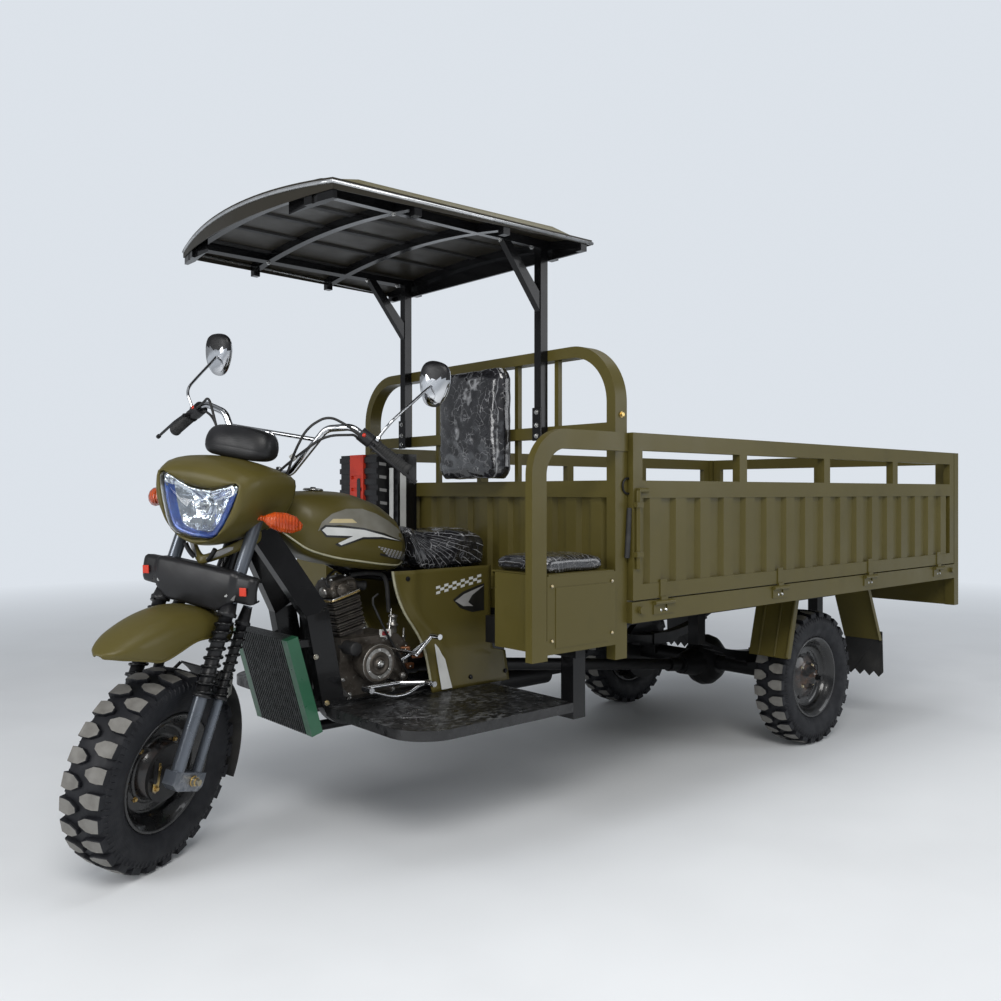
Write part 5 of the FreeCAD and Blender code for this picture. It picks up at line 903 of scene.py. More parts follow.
def lug_radius(across, height):
    return 270 + height - 3.2 * (across / 60) ** 2 - (2.0 if across > 60 else 0)


def make_lugs(name, place, mats, body):
    """Two staggered rows of cut blocks, with short ribs down each shoulder."""
    points, faces, kinds = [], [], []

    def put(radius, turn, across):
        points.append(place @ Vector((radius * math.cos(turn) / 1000,
                                      radius * math.sin(turn) / 1000, across / 1000)))
        return len(points) - 1

    count = len(lug_shape)
    for hand in (1, -1):
        for k in range(LUG_COUNT):
            turn = 2 * math.pi * (k + (0.5 if hand < 0 else 0)) / LUG_COUNT
            rings = []
            for height, inset in ((-8, 1.0), (10, 1.0), (12.6, 0.94)):
                ring = []
                for across, along in lug_shape:
                    a = LUG_MIDDLE + (across - LUG_MIDDLE) * inset
                    ring.append(put(lug_radius(a, height),
                                    turn + along * inset * hand / TREAD_RADIUS, a * hand))
                rings.append(ring)
            for low, high in zip(rings, rings[1:]):
                for j in range(count):
                    faces.append((low[j], low[(j + 1) % count], high[(j + 1) % count],
                                  high[j])[::-hand])
                    kinds.append(0)
            faces.append(tuple(rings[-1][::-hand]))
            kinds.append(1)
        for k in range(RIB_COUNT):
            turn = 2 * math.pi * (k + 0.25) / RIB_COUNT
            ends = []
            for radius, across in ((240, 69.5), (252, 69), (262, 61)):
                ends.append([put(radius, turn + side * 0.009, (across + out) * hand)
                             for side, out in ((-1, 0), (0, 2.2), (1, 0))])
            for low, high in zip(ends, ends[1:]):
                for j in (0, 1):
                    faces.append((low[j], low[j + 1], high[j + 1], high[j]))
                    kinds.append(0)
    obj = add_mesh(name, points, faces, mats, body, smooth=False)
    obj.data.polygons.foreach_set("material_index", kinds)


rim_edge = [(149, 44), (157, 47), (161, 52), (168, 55), (172, 52), (170.5, 46)]
rim_faces = {
    "front": [(10, 42), (82, 42), (83, 8), (88, 4), (96, 3), (101, 8), (107, 3), (113, 7),
              (119, 3), (127, 5), (133, 16), (136, 28), (145, 34)] + rim_edge,
    "rear": [(10, 63), (16, 63), (18, 58), (30, 58), (32, 34), (46, 32), (50, 20), (62, 18),
             (78, 12), (92, 5), (102, 2), (108, 6), (114, 2), (121, 5), (128, 8), (134, 20),
             (138, 28), (147, 34), (150, 44)] + rim_edge[1:],
}
rim_back = [(r, -height) for r, height in rim_edge[::-1]]
rim_back += [(142, -30), (133, -24), (127, -10), (112, -6), (80, -6), (52, -10), (48, -58),
             (20, -60), (10, -60)]


def make_wheel(key, tyre_node, rim_node, body):
    centre, axis = wheels[key]
    out = axis if key != "rear_right" else -axis
    place = frame_at(centre, out)
    front = key == "front"
    rubber_look = bpy.data.materials["tyre_" + key]
    carcass = lathe(key + "_carcass", tyre_section, place, rubber_look, body, count=88, caps="")
    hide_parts(tyre_node)
    make_lugs(key + "_lugs", place, [rubber_look, tread_top], body)
    rim_piece = lathe(key + "_rim", rim_faces["front" if front else "rear"] + rim_back, place,
                      bpy.data.materials["rim_" + key], body, count=72)
    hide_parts(rim_node)
    if not front:
        # Painted shade: dark cups in the rear rims' holes, standing for the shade inside them.
        for k, (x, y) in enumerate(circle(8, 0.091, 0.5)):
            lathe("%s_hole_%d" % (key, k), [(13, -0.3), (12.5, 0.6), (10, 0.2), (9.5, -2)],
                  frame_at(place @ Vector((x, y, 0.0055)), out), inner_black, body, count=16)
    ring, height, mat = (0.098, 0.005, brass) if front else (0.056, 0.018, zinc)
    first_bolt = 0.25 + 0.4 * 4 / (2 * math.pi)
    spots = [(place @ Vector((x, y, height)), out, 0.008)
             for x, y in circle(4, ring, first_bolt)]
    bolts(key + "_wheel_bolts", spots, mat, body)
    valve_turn = 2.4
    stem = place @ Vector((0.147 * math.cos(valve_turn), 0.147 * math.sin(valve_turn), 0.036))
    tube(key + "_valve", [stem, stem + out * 0.018, stem + out * 0.03], 0.0032, rubber, body)


make_wheel("front", "front_tyre", "front_rim", "front_wheel")
make_wheel("rear_left", "rear_tyre_left", "rear_rim_left", "rear_wheel_left")
make_wheel("rear_right", "rear_tyre_right", "rear_rim_right", "rear_wheel_right")


# ---------------------------------------------------------------- fork
def make_springs():
    turns, steps = 9, 14              # of each coil, and of each turn
    for hand in (1, -1):
        for key, ahead, radius, wire, top in (("main", 57, 24, 4.2, 467),
                                              ("rear", -33, 18.5, 3.4, 455)):
            name = "fork_coil_%s_%d" % (key, hand > 0)
            points = []
            for k in range(turns * steps + 1):
                angle = 2 * math.pi * k / steps
                along = 240 + (top - 248) * k / (turns * steps)
                points.append(fork(along, ahead + radius * math.cos(angle),
                                   118 * hand + radius * math.sin(angle)))
            coil = tube(name, points, wire / 1000, black, "steering", steps=2)
            if hand > 0 and key == "main":
                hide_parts("fork_springs")
            core = radius - wire - 0.5
            lathe(name + "_core", [(core + 8, 0), (core + 8, 8), (core + 3, 10), (core, 11),
                                   (core, top - 236), (core + 8, top - 235),
                                   (core + 8.5, top - 226), (core + 4, top - 222),
                                   (core - 1, 276)], frame_at(fork(228, ahead, 118 * hand),
                                                              FORK_UP),
                  plastic, "steering", count=28)


def make_guard():
    reach, curl = 198, 188            # half width, and where its ends curl in
    rings = []
    for k in range(57):
        y = -reach + 2 * reach * k / 56
        far = abs(y)
        step = min(1.0, max(0.0, (far - 128) / 10))
        past = max(0.0, far - curl)
        front = 2554 - 9 * step - 8 * (far / reach) ** 4 - past * 1.4
        top = 872 - 5 * step - 4 * (far / reach) ** 2 - past * 0.9
        low = 757 + 33 * min(1.0, max(0.0, (far - 84) / 48)) ** 1.3 + past * 0.9
        side = [(2508, top - 3), (front - 8, top), (front - 2.5, top - 2.5), (front, top - 9),
                (front + 2, (top + low) / 2), (front - 1, low + 10), (front - 4, low + 3),
                (front - 10, low), (2508, low + 3)]
        rings.append([steer_at(x, y, z) for x, z in side])
    shell = skin("guard_shell", rings, plastic, "steering", closed=False)
    modify(shell, "SOLIDIFY", thickness=0.004, offset=1)
    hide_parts("fork_guard")
    for hand in (1, -1):
        for z in (800, 845):
            points = [steer_at(2540, 118 * hand + dy, z) for dy in (-9, 9)]
            tube("guard_bracket_%d_%d" % (z, hand > 0), points, 0.008, plastic, "steering",
                 smooth=False)
        slab("guard_reflector_%d" % (hand > 0), box_outline(-11, 11, -12, 12),
             frame_at(steer_at(2550, 171 * hand, 826), steer_way(1, 0, 0)), 4, red, "steering")


def make_axle_parts():
    """Brake arm with its bolts, axle nuts and the cable guide plate."""
    left = steer_way(0, 1, 0)
    arm = [(12, -38), (13, 30), (8, 41), (-8, 41), (-13, 30), (-11, -38), (0, -46)]
    place = frame_at(steer_matrix @ (HUB + Vector((0.052, 0.0535, 0.004))), left)
    slab("brake_arm", arm, place, 5, gold, "steering")
    spots = [(place @ Vector((0, y, 0.005)), left, 0.0085) for y in (-0.031, 0.029)]
    for hand in (1, -1):
        spots.append((fork(0, 0, 138.5 * hand), left * hand, 0.0155))
    bolts("axle_nuts", spots, brass, "steering")
    place = frame_at(fork(272, -62, 118), left)
    slab("cable_guide", [(-4, -38), (14, -30), (10, 34), (-12, 40)], place, 3, alloy, "steering")
    bolts("crown_bolts", [(fork(517, 86, 118 * hand), steer_way(1, 0, 0), 0.009)
                          for hand in (1, -1)]
          + [(fork(850, ahead, y), FORK_UP, 0.0115)
             for ahead, y in ((57, 118), (57, -118), (-42, 0))], bright, "steering")


make_springs()
make_guard()
make_axle_parts()


# ---------------------------------------------------------------- bars and mirrors
def make_mirrors():
    foot = Vector((2200, 345.5, 1287))
    knee = Vector((2198, 383.5, 1349.3))
    head = Vector((2010, 421.5, 1485.3))
    stem_line = (foot, foot + Vector((0, 6, 14)), knee, knee + (head - knee) * 0.3,
                 head + Vector((8, -6, -12)))
    shape = [(-30, -66), (16, -72), (46, -30), (52, 28), (34, 62), (-18, 70), (-48, 48),
             (-52, -6)]
    for hand in (1, -1):
        outline = rounded([(y * hand, z) for y, z in shape], 5)

        def ring_at(scale, x):
            return [steer_at(head.x + x - 5 + 0.10 * z * scale, head.y * hand + y * scale,
                             head.z + z * scale) for y, z in outline]

        stem = tube("mirror_stem_%d" % (hand > 0),
                    [steer_at(p.x, p.y * hand, p.z) for p in stem_line], 0.0048, chrome,
                    "steering")
        lathe("mirror_nut_%d" % (hand > 0), [(9, 0), (9.5, 9), (6.5, 13)],
              frame_at(steer_at(foot.x, foot.y * hand, foot.z), steer_way(0, 0.3 * hand, 1)),
              chrome, "steering", count=6, smooth=False)
        rings = [ring_at(scale, x) for scale, x in (
            (0.2, 12), (0.55, 11), (0.82, 8), (0.96, 2.5), (1.0, -3), (1.0, -6), (0.96, -8))]
        back = skin("mirror_back_%d" % (hand > 0), rings, [chrome, plastic], "steering",
                    caps="a")
        for face in back.data.polygons:
            # the cap above the stem is black
            middle = steer_matrix.inverted() @ (sum((
                back.data.vertices[i].co for i in face.vertices), Vector())
                / len(face.vertices))
            face.material_index = (middle.z * 1000 > head.z + 18
                                   and (middle.x + SHIFT) * 1000 > 2006)
        skin("mirror_face_%d" % (hand > 0),
             [ring_at(scale, x) for scale, x in ((0.97, -7), (0.93, -6.5), (0.5, -6.5),
                                                 (0.05, -6.5))],
             mirror_glass, "steering", caps="b")
        rim_line = [steer_at(head.x - 12 + 0.10 * z, head.y * hand + y * 0.985,
                             head.z + z * 0.985) for y, z in outline][::2]
        tube("mirror_rim_%d" % (hand > 0), rim_line, 0.0026, chrome, "steering", closed=True)
        if hand > 0:
            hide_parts("mirrors")


def make_bar_parts():
    """Grips, switch buttons, cable clip, ignition lock and a clamp cap."""
    rib_pitch = 7.6
    profile = [(21, 0), (21, 5), (17.5, 7)]
    for k in range(13):
        low = 9 + k * rib_pitch
        profile += [(17.2, low), (18.4, low + 1.6), (18.4, low + 4.6), (17.2, low + 6.2)]
    profile += [(18.5, 112), (19.5, 116), (19.5, 123), (15, 126)]
    for hand in (1, -1):
        way = steer_way(-0.3432, 0.7885 * hand, -0.5102)
        base = steer_at(2199.9, 345.8 * hand, 1270.2)
        lathe("grip_%d" % (hand > 0), profile, frame_at(base, way), rubber, "steering")
        button_way = steer_way(0.9, 0.1 * hand, 0.4)
        lathe("switch_button_%d" % (hand > 0), [(6, 0), (6, 5), (4, 7)],
              frame_at(base - way * 0.038 + button_way.normalized() * 0.021, button_way), red,
              "steering", count=16)
    clip = [steer_at(2304, 118, 1196), steer_at(2300, 128, 1207)]
    tube("cable_clip", clip, 0.011, white, "steering", smooth=False)
    lathe("ignition_lock", [(17, 0), (19, 4), (19, 22), (15, 26), (9, 26), (8, 22)],
          frame_at(steer_at(2290, 22, 1098), FORK_UP), bright, "steering")
    lathe("bar_clamp_caps", [(9, 0), (9, 6), (5, 8)],
          frame_at(steer_at(2254, 45, 1152), (0, 0, 1)), bright, "steering", count=6,
          smooth=False)


make_mirrors()
make_bar_parts()


# ---------------------------------------------------------------- gate hinges, fender ribs
HINGE_PLACES = (-820, -155, 538, 1231)   # millimetres from the rear axle


def make_hinge_bolts():
    """Two small bolts on the sill below each hinge of the side gates, found by a ray."""
    sill = frame["nodes"]["bed_frame"]
    inward = sill.matrix_world.inverted()
    spots = []
    for hand in (1, -1):
        out = Vector((0, hand, 0))
        for x in HINGE_PLACES:
            for shift in (-14, 14):
                hit, point, _, _ = sill.ray_cast(inward @ at(x + shift, 900 * hand, 690),
                                                 inward.to_3x3() @ -out, distance=0.4)
                if hit:
                    spots.append((sill.matrix_world @ point, out, 0.0062))
    bolts("hinge_bolts", spots, bright)


def make_fender_ribs():
    """Pressed ribs and a rolled outer edge on the plates ahead of the rear wheels."""
    for hand in (1, -1):
        for k, (y, radius) in enumerate(((486, 0.005), (560, 0.005), (616, 0.006))):
            points = [at(233 + 70 * t, y * hand, 654 - 252 * t) for t in (0.03, 0.5, 0.98)]
            tube("fender_rib_%d_%d" % (k, hand > 0), points, radius, olive)


make_hinge_bolts()
make_fender_ribs()


# ---------------------------------------------------------------- tank and covers
def make_tank():
    side = [(0.0, 1.0), (0.3, 0.985), (0.62, 0.92), (0.88, 0.76), (1.0, 0.54), (0.98, 0.34),
            (0.84, 0.14), (0.62, 0.02), (0.0, 0.0)]
    stations = [(0.0, 0.24, 0.56, 0.86), (0.05, 0.48, 0.45, 0.94), (0.17, 0.8, 0.25, 0.99),
                (0.35, 0.98, 0.13, 1.0), (0.56, 1.0, 0.06, 0.97), (0.77, 0.92, 0.01, 0.85),
                (0.92, 0.75, 0.0, 0.68), (1.0, 0.52, 0.06, 0.52)]
    seam = 25                         # the ring's point that the seam follows
    rings, seam_line = [], []
    for k in range(49):
        share = k / 48
        width, low, high = spline_values(stations, share)
        line = rounded(section(side, 150 * width, 812 + 267 * low, 812 + 267 * high), 4)
        ring = [(2262 - 467 * share, y, z) for y, z in line]
        rings.append([at(*place) for place in ring])
        seam_line.append(ring[seam])
    tank = skin("tank_shell", rings, olive, caps="ab")
    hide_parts("fuel_tank")
    for hand in (1, -1):
        # The seam's bead carries the painted highlight.
        tube("tank_seam_%d" % (hand > 0), [at(x, (y + 2) * hand, z - 1)
                                           for x, y, z in seam_line[1::2]], 0.0035, bead_painted_highlight)
    top = tree_from(tank).ray_cast(at(2105, 0, 1300), Vector((0, 0, -1)))[0]
    lathe("tank_cap", [(31, 0), (33, 2), (32, 5), (28, 7.5), (10, 8.5)],
          frame_at(top, (-0.06, 0, 1)), bright, count=36)
    lathe("tank_cap_lock", [(9, 0), (9, 3), (7, 4)],
          frame_at(top + Vector((0, 0, 0.008)), (-0.06, 0, 1)), inner_black)
    return tank


def make_tank_stripes(tank):
    tree = tree_from(tank)
    patch_look = flat_look("patch_grey", (0.17, 0.165, 0.14), 0.4, (0.12, 0.112, 0.085))
    decal("tank_patch", [[(318, 531), (322, 522), (332, 514), (346, 509), (362, 509),
                          (376, 514), (388, 521), (398, 529), (405, 540), (398, 539),
                          (384, 533), (364, 528), (340, 525), (328, 526)]],
          tree, patch_look, lift=0.0012)
    decal("tank_stripe_line", [[(320, 529), (325, 525), (345, 526), (364, 528), (383, 533),
                                (404, 542), (383, 539), (363, 539), (340, 547), (335, 544),
                                (350, 538), (326, 537)]],
          tree, decal_black, lift=0.0016)
    decal("tank_stripe", [[(322, 530), (326, 527), (345, 528), (364, 530), (382, 535),
                           (400, 541), (382, 537), (363, 537), (341, 545), (338, 543),
                           (353, 536), (327, 535)]],
          tree, decal_white, lift=0.0020)
    decal("tank_bar", [[(329, 523), (333, 519), (352, 519), (357, 523)]], tree, decal_cream,
          lift=0.0018)
    dots = []
    for row in range(5):
        for k in range(12 - row):
            u = 378 + k * 3.1 + row * 2.4
            v = 546 + row * 2.2 + k * 0.75
            if u < 414:
                dots.append([(u, v), (u + 2.1, v + 0.4), (u + 2.1, v + 1.7), (u, v + 1.3)])
    decal("tank_dots", dots, tree, decal_silver, lift=0.0018)
    decal("tank_under_line", [[(380, 553), (395, 556), (413, 558), (414, 560), (396, 559),
                               (380, 555)]], tree, decal_black, lift=0.0016)


def make_covers():
    front_line = [(405, 1760), (470, 1764), (545, 1772), (600, 1796), (663, 1843), (720, 1873),
                  (780, 1892), (815, 1898)]

    def flare(z):
        return 34 * max(0.0, (589.5 - z) / 184.5) ** 1.2

    for hand in (1, -1):
        grid, edge = [], []
        for j in range(33):
            z = 405 + 410 * j / 32
            x1 = spline_values(front_line, z)[0]
            x0 = 1476 if z > 512 else 1418
            row = []
            for k in range(25):
                u = k / 24
                x = x1 + (x0 - x1) * u
                bulge = 7 * math.sin(math.pi * min(1.0, u * 1.2)) * math.sin(
                    math.pi * (z - 395) / 430)
                ridge = 9 * math.exp(-((x - x1 + 62 + 20 * math.sin(z / 60)) / 20) ** 2)
                row.append((x, 154 + flare(z) + bulge
                            + ridge * min(1.0, max(0.0, (z - 470) / 90)), z))
            edge.append(row[0])
            y = row[0][1]
            lead = [(x1 - 3, y - 16, z), (x1 + 2, y - 5, z)]
            grid.append([at(x, y * hand, z) for x, y, z in lead + row])
        cover = skin("side_cover_%d" % (hand > 0), grid, olive, closed=False)
        modify(cover, "SOLIDIFY", thickness=0.003, offset=-hand)
        if hand > 0:
            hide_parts("side_covers")
            tree = tree_from(cover)
        # The cover's front bead carries the painted highlight.
        tube("cover_bead_%d" % (hand > 0), [at(x + 1, (y - 1) * hand, z)
                                            for x, y, z in edge[2::3]], 0.0045, bead_painted_highlight)
        strip = []
        for j in range(12):
            share = j / 11
            z = 412 + 150 * share
            x, y, width = 1728 + 8 * share, 156.5 + flare(z), 46 - 16 * share
            strip.append([at(x - width * back, (y + out) * hand, z)
                          for back, out in ((0, 5.35), (0.5, 5.5), (1, 4))])
        skin("cover_strip_%d" % (hand > 0), strip, decal_white, closed=False)
        side = Vector((0, hand, 0))
        spots = []
        for u, v in ((409, 579), (467, 676), (502, 670)):
            point = seen(u, v, 165)
            hit = tree.ray_cast(point + Vector((0, 0.2, 0)), Vector((0, -1, 0)))[0]
            if hit is not None:
                spots.append((Vector((hit.x, hit.y * hand, hit.z)), side, 0.0085))
        bolts("cover_bolts_%d" % (hand > 0), spots, dark_steel)
    checks = []
    for row in range(3):
        for k in range(11):
            if (k + row) % 2 == 0:
                u, v = 436 + 4.1 * k, 586.5 - 1.15 * k + row * 2.7
                checks.append([(u, v), (u + 4.1, v - 1.15), (u + 4.1, v + 1.5), (u, v + 2.7)])
    decal("cover_checks", checks, tree, decal_white, step=9.0)
    decal("cover_patch", [[(453, 600), (462, 592), (476, 586), (484, 583), (484, 610),
                           (472, 612), (460, 608)]], tree, decal_black)
    decal("cover_crescent", [[(455, 601), (464, 594), (484, 585), (472, 595), (468, 602),
                              (473, 606), (463, 606)]], tree, decal_silver,
          lift=0.0011)


tank = make_tank()
make_tank_stripes(tank)
make_covers()


# ---------------------------------------------------------------- seats in clear film
def make_film_with_painted_highlights(name, nose, turns, power=0.9):
    """Black vinyl under creased clear film: creased relief, with painted highlights as bright
    streaks that fan from a nose.
    """
    look = Look(name, (0.010, 0.010, 0.012), 0.2, Coat_Weight=0.8, Coat_Roughness=0.05)
    away = look.vector("SUBTRACT", look.coords, nose)
    fan = look.math("ARCTAN2", look.part(2, away), look.part(0, away))
    bend = look.math("ADD", look.math("MULTIPLY", fan, turns),
                     look.math("MULTIPLY", look.noise(9), 5.0))
    crease = look.ramp(look.math("ABSOLUTE", look.math("SINE", bend)), 0.22, 0.0)
    broken = look.math("MULTIPLY", crease, look.ramp(look.noise(22, 4.0), 0.40, 0.56))
    warp = look.add("TexNoise", Scale=16.0, Detail=3.0)
    look.link(look.coords, warp.inputs["Vector"])
    bent = look.vector("ADD", look.coords, look.vector("SCALE", warp.outputs["Color"], 0.06))
    cracks = look.add("TexVoronoi", Scale=34.0, feature="DISTANCE_TO_EDGE")
    look.link(bent, cracks.inputs["Vector"])
    crinkle = look.math("MULTIPLY", look.ramp(cracks.outputs["Distance"], 0.045, 0.0),
                        look.ramp(look.noise(20, 4.0), 0.45, 0.66))
    both = look.math("MAXIMUM", broken, crinkle)
    look.mottle((0.022, 0.022, 0.026), 30)
    # Painted highlight: light grey laid on the creases and crinkles, standing for reflections in
    # the clear film; the same masks also raise the relief.
    look.blend(look.math("MULTIPLY", both, power), (0.72, 0.73, 0.76))
    look.relief(both, 0.7, 0.004).grain(60, 0.25, 0.003).gloss(40, 0.08, 0.3)
    return look.mat


def puff(obj, cap):
    """Swells a cushion as cloth from its own form, each point at most by a cap."""
    bpy.context.view_layer.objects.active = obj
    rest = obj.data
    modify(obj, "REMESH", mode="VOXEL", voxel_size=0.006)
    shape = bpy.data.meshes.new_from_object(obj.evaluated_get(
        bpy.context.evaluated_depsgraph_get()))
    obj.modifiers.clear()
    obj.data = shape
    start = [v.co.copy() for v in shape.vertices]
    cloth = modify(obj, "CLOTH").modifiers[0]
    cloth.settings.use_pressure = True
    cloth.settings.uniform_pressure_force = 4.0
    cloth.settings.effector_weights.gravity = 0
    cloth.settings.quality = 4
    scene = bpy.context.scene
    for step in range(1, 21):
        scene.frame_set(step)
    swollen = bpy.data.meshes.new_from_object(obj.evaluated_get(
        bpy.context.evaluated_depsgraph_get()))
    obj.modifiers.clear()
    for vert, origin in zip(shape.vertices, start):
        move = swollen.vertices[vert.index].co - origin
        if move.length > cap:
            move *= cap / move.length
        vert.co = origin + move
    scene.frame_set(1)
    shape.materials.clear()
    shape.materials.append(rest.materials[0])
    shape.polygons.foreach_set("use_smooth", [True] * len(shape.polygons))


def ruffle(obj, height, scale, nose=None, turns=0.0):
    """Soft folds: noise, and creases that fan out from a nose."""
    moved = []
    for vert in obj.data.vertices:
        push = noise.noise(vert.co * scale) * height
        if nose is not None:
            away = vert.co - nose
            fan = math.atan2(away.z, -away.x)
            reach = min(1.0, away.length / 0.05)
            push += (math.sin(fan * turns + 3 * noise.noise(vert.co * 9)) * height * 0.8
                     * reach * max(0.0, 1 - away.length / 0.34))
        moved.append(vert.co + vert.normal * push)
    for vert, place in zip(obj.data.vertices, moved):
        vert.co = place


def cushion(name, rings, mat, body, node, cap, nose=None, turns=0.0):
    pad = skin(name, rings, mat, body, caps="ab")
    puff(pad, cap)
    ruffle(pad, 0.0022, 26, nose, turns)
    pad.data.update()
    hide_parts(node)


def make_driver_seat():
    # place from the rear, half width, bottom, top above the covers
    table = [(0.0, 96, 8, 92), (0.025, 124, 2, 108), (0.08, 138, 1, 116), (0.25, 142, 1, 124),
             (0.45, 140, 1, 125), (0.62, 132, 1, 119), (0.76, 118, 1, 118), (0.87, 104, 4, 126),
             (0.95, 90, 52, 134), (0.985, 76, 94, 137), (1.0, 62, 116, 136)]
    side = [(0.0, 1.0), (0.4, 0.985), (0.72, 0.93), (0.93, 0.8), (1.0, 0.58), (0.985, 0.3),
            (0.95, 0.06), (0.88, 0.0), (0.5, 0.0), (0.0, 0.0)]
    rings = []
    for k in range(31):
        share = k / 30
        half, low, high = spline_values(table, share)
        rings.append([at(1472 + 314 * share, y, 816 + z)
                      for y, z in rounded(section(side, half, low, high), 2)])
    nose = at(1786, 60, 948)
    cushion("driver_seat_pad", rings, make_film_with_painted_highlights("seat_film", nose, 34), "vehicle",
            "driver_seat", 0.007, nose, 30)


def pad_rings(x0, x1, y0, y1, z0, z1, crown, axis, count=14):
    """Rings of a crowned pad, walked along one axis, its sides pulled in between corners."""
    rings = []
    for k in range(count + 1):
        t = -1 + 2 * k / count
        shrink = 1 - 0.9 * max(0.0, abs(t) - 0.8) ** 2 * 4
        ring = []
        for j in range(28):
            angle = 2 * math.pi * j / 28
            c, s = math.cos(angle), math.sin(angle)
            a = math.copysign(abs(c) ** 0.42, c) * shrink
            b = math.copysign(abs(s) ** 0.55, s)
            lift = crown * (1 - t * t) * (1 - a * a) if b > 0 else 0
            if axis == "y":
                ring.append(at((x0 + x1) / 2 + a * (x1 - x0) / 2,
                               (y0 + y1) / 2 + t * (y1 - y0) / 2,
                               (z0 + z1) / 2 + b * shrink * (z1 - z0) / 2 + lift))
            else:
                ring.append(at((x0 + x1) / 2 + b * shrink * (x1 - x0) / 2 + lift,
                               (y0 + y1) / 2 + a * (y1 - y0) / 2,
                               (z0 + z1) / 2 + t * (z1 - z0) / 2))
        rings.append(ring)
    return rings


def make_soft():
    make_driver_seat()
    film = make_film_with_painted_highlights("cushion_film", at(1610, 590, 700), 40, 0.6)
    cushion("passenger_pad", pad_rings(1474, 1748, 477, 706, 834, 876, 9, "y"), film,
            "locker_lid", "passenger_cushion", 0.004)
    film = make_film_with_painted_highlights("backrest_film", at(1500, 66, 1900), 60, 0.42)
    rings = pad_rings(1443, 1514, -118, 250, 1118, 1514, 12, "z", 22)
    cushion("backrest_pad", rings, film, "vehicle", "backrest", 0.006)


make_soft()


# ---------------------------------------------------------------- canopy
def roof_sheet(share):
    """Low edge, crown and half width of the roof at a share of its length."""
    return 1906 + 16 * share, 45 - 20 * share, 560 - 70 * share


def make_roof_look_with_painted_shade():
    """Olive above, with painted shade darkening the rim and the underside."""
    look = Look("roof_paint_with_painted_shade", OLIVE_COLOR, 0.4, Coat_Weight=0.11, Coat_Roughness=0.25,
                Specular_IOR_Level=0.24)
    look.mottle(OLIVE_LIGHT, 2.2, 0.4, 0.75)
    upward = look.facing(2)
    # Painted shade: faces turned downward, and the upright faces of the rim, are laid over with
    # dark olive.
    look.blend(look.ramp(upward, 0.02, -0.02), (0.026, 0.022, 0.015))
    look.blend(look.ramp(look.math("ABSOLUTE", upward), 0.35, 0.3), (0.022, 0.019, 0.013))
    look.gloss(9, 0.34, 0.48).grain(420, 0.1, 0.0006)
    return look.mat


def make_canopy():
    tree = tree_of("canopy_roof")

    def roof_above(x, y):
        return tree.ray_cast(at(x, y, 1700), Vector((0, 0, 1)))[0]

    # Painted shade: thin black strips under the roof's pressed ribs, standing for the shade in
    # the ribs' channels.
    shade_strip_side = ((-0.017, -0.0002), (-0.012, -0.006), (0.012, -0.006), (0.017, -0.0002))
    ribs = []
    for k in range(-2, 3):
        hits = [roof_above(1398 + 932 * j / 32, k * (196 - 20 * j / 32)) for j in range(33)]
        ribs.append([[hit + Vector((0, dy, dz)) for dy, dz in shade_strip_side]
                     for hit in hits if hit is not None])
    skins("roof_ribs", ribs, inner_black, closed=False, smooth=False)
    trim = []
    for k in range(21):
        y = 561 - 56.1 * k
        trim.append(at(1386, y, 1895 + 45 * (1 - (y / 560) ** 2)))
    for k in range(21):
        y = -490 + 49 * k
        x = 2385 - 54 * (y / 490) ** 2
        low, crown, half = roof_sheet((x - 1386.5) / 1000)
        trim.append(at(x, y * 1.004,
                       low - 11 + crown * (1 - (min(abs(y), half) / half) ** 2)))
    tube("roof_trim", trim, 0.0055, silver, closed=True, smooth=False)
    spots = []
    for hand in (1, -1):
        y = 391 * hand
        slab("post_foot_%d" % (hand > 0), box_outline(-22, 22, -52, 60),
             frame_at(at(1473, y, 1300), (1, 0, 0)), 4, black)
        spots += [(at(1477, y, z), Vector((1, 0, 0)), 0.0085) for z in (1264, 1300, 1344)]
        spots += [(roof_above(x, y) - Vector((0, 0, 0.028)), Vector((0, 0, -1)), 0.008)
                  for x in (1500, 1640, 2060, 2300)]
    bolts("canopy_bolts", spots, bright)


def make_roof_pan():
    """Raised top of the roof: leaning sides and lengthwise ribs over the CAD sheet."""
    ribs = (-0.72, -0.36, 0.0, 0.36, 0.72)
    raised, lean = 30, 44             # height of the pan and width of its leaning side
    rings = []
    for k in range(25):
        share = k / 24
        ends = min(1.0, 6 * min(share, 1 - share) + 0.25)
        low, crown, half = roof_sheet(share)
        half -= 9
        inner = 1 - lean / half
        ring = []
        for j in range(-40, 41):
            a = j / 40
            if abs(a) > inner:
                lift = raised * (1 - abs(a)) / (1 - inner)
            else:
                lift = raised - (20 + crown * 0.35) * (1 - (a / inner) ** 2) * 0.9
            lift += sum(6 * math.exp(-((a - rib) / 0.045) ** 4) for rib in ribs)
            ring.append(at(1394 + 978 * share - 50 * a * a * share, half * a,
                           low + crown * (1 - a * a) - 1.5 + max(0.5, lift) * ends))
        rings.append(ring)
    skin("roof_pan", rings, olive, closed=False)


dress(make_roof_look_with_painted_shade(), "canopy_roof")
make_canopy()
make_roof_pan()


# ---------------------------------------------------------------- engine
LEAN = math.radians(13)
CYLINDER = Matrix.Translation(at(1985, 0, 612)) @ Matrix.Rotation(LEAN, 4, "Y")


def in_cylinder(x, y, z):
    """A point by its place in the leaning cylinder, in millimetres."""
    return CYLINDER @ Vector((x / 1000, y / 1000, z / 1000))


def cylinder_way(x, y, z):
    return CYLINDER.to_3x3() @ Vector((x, y, z))


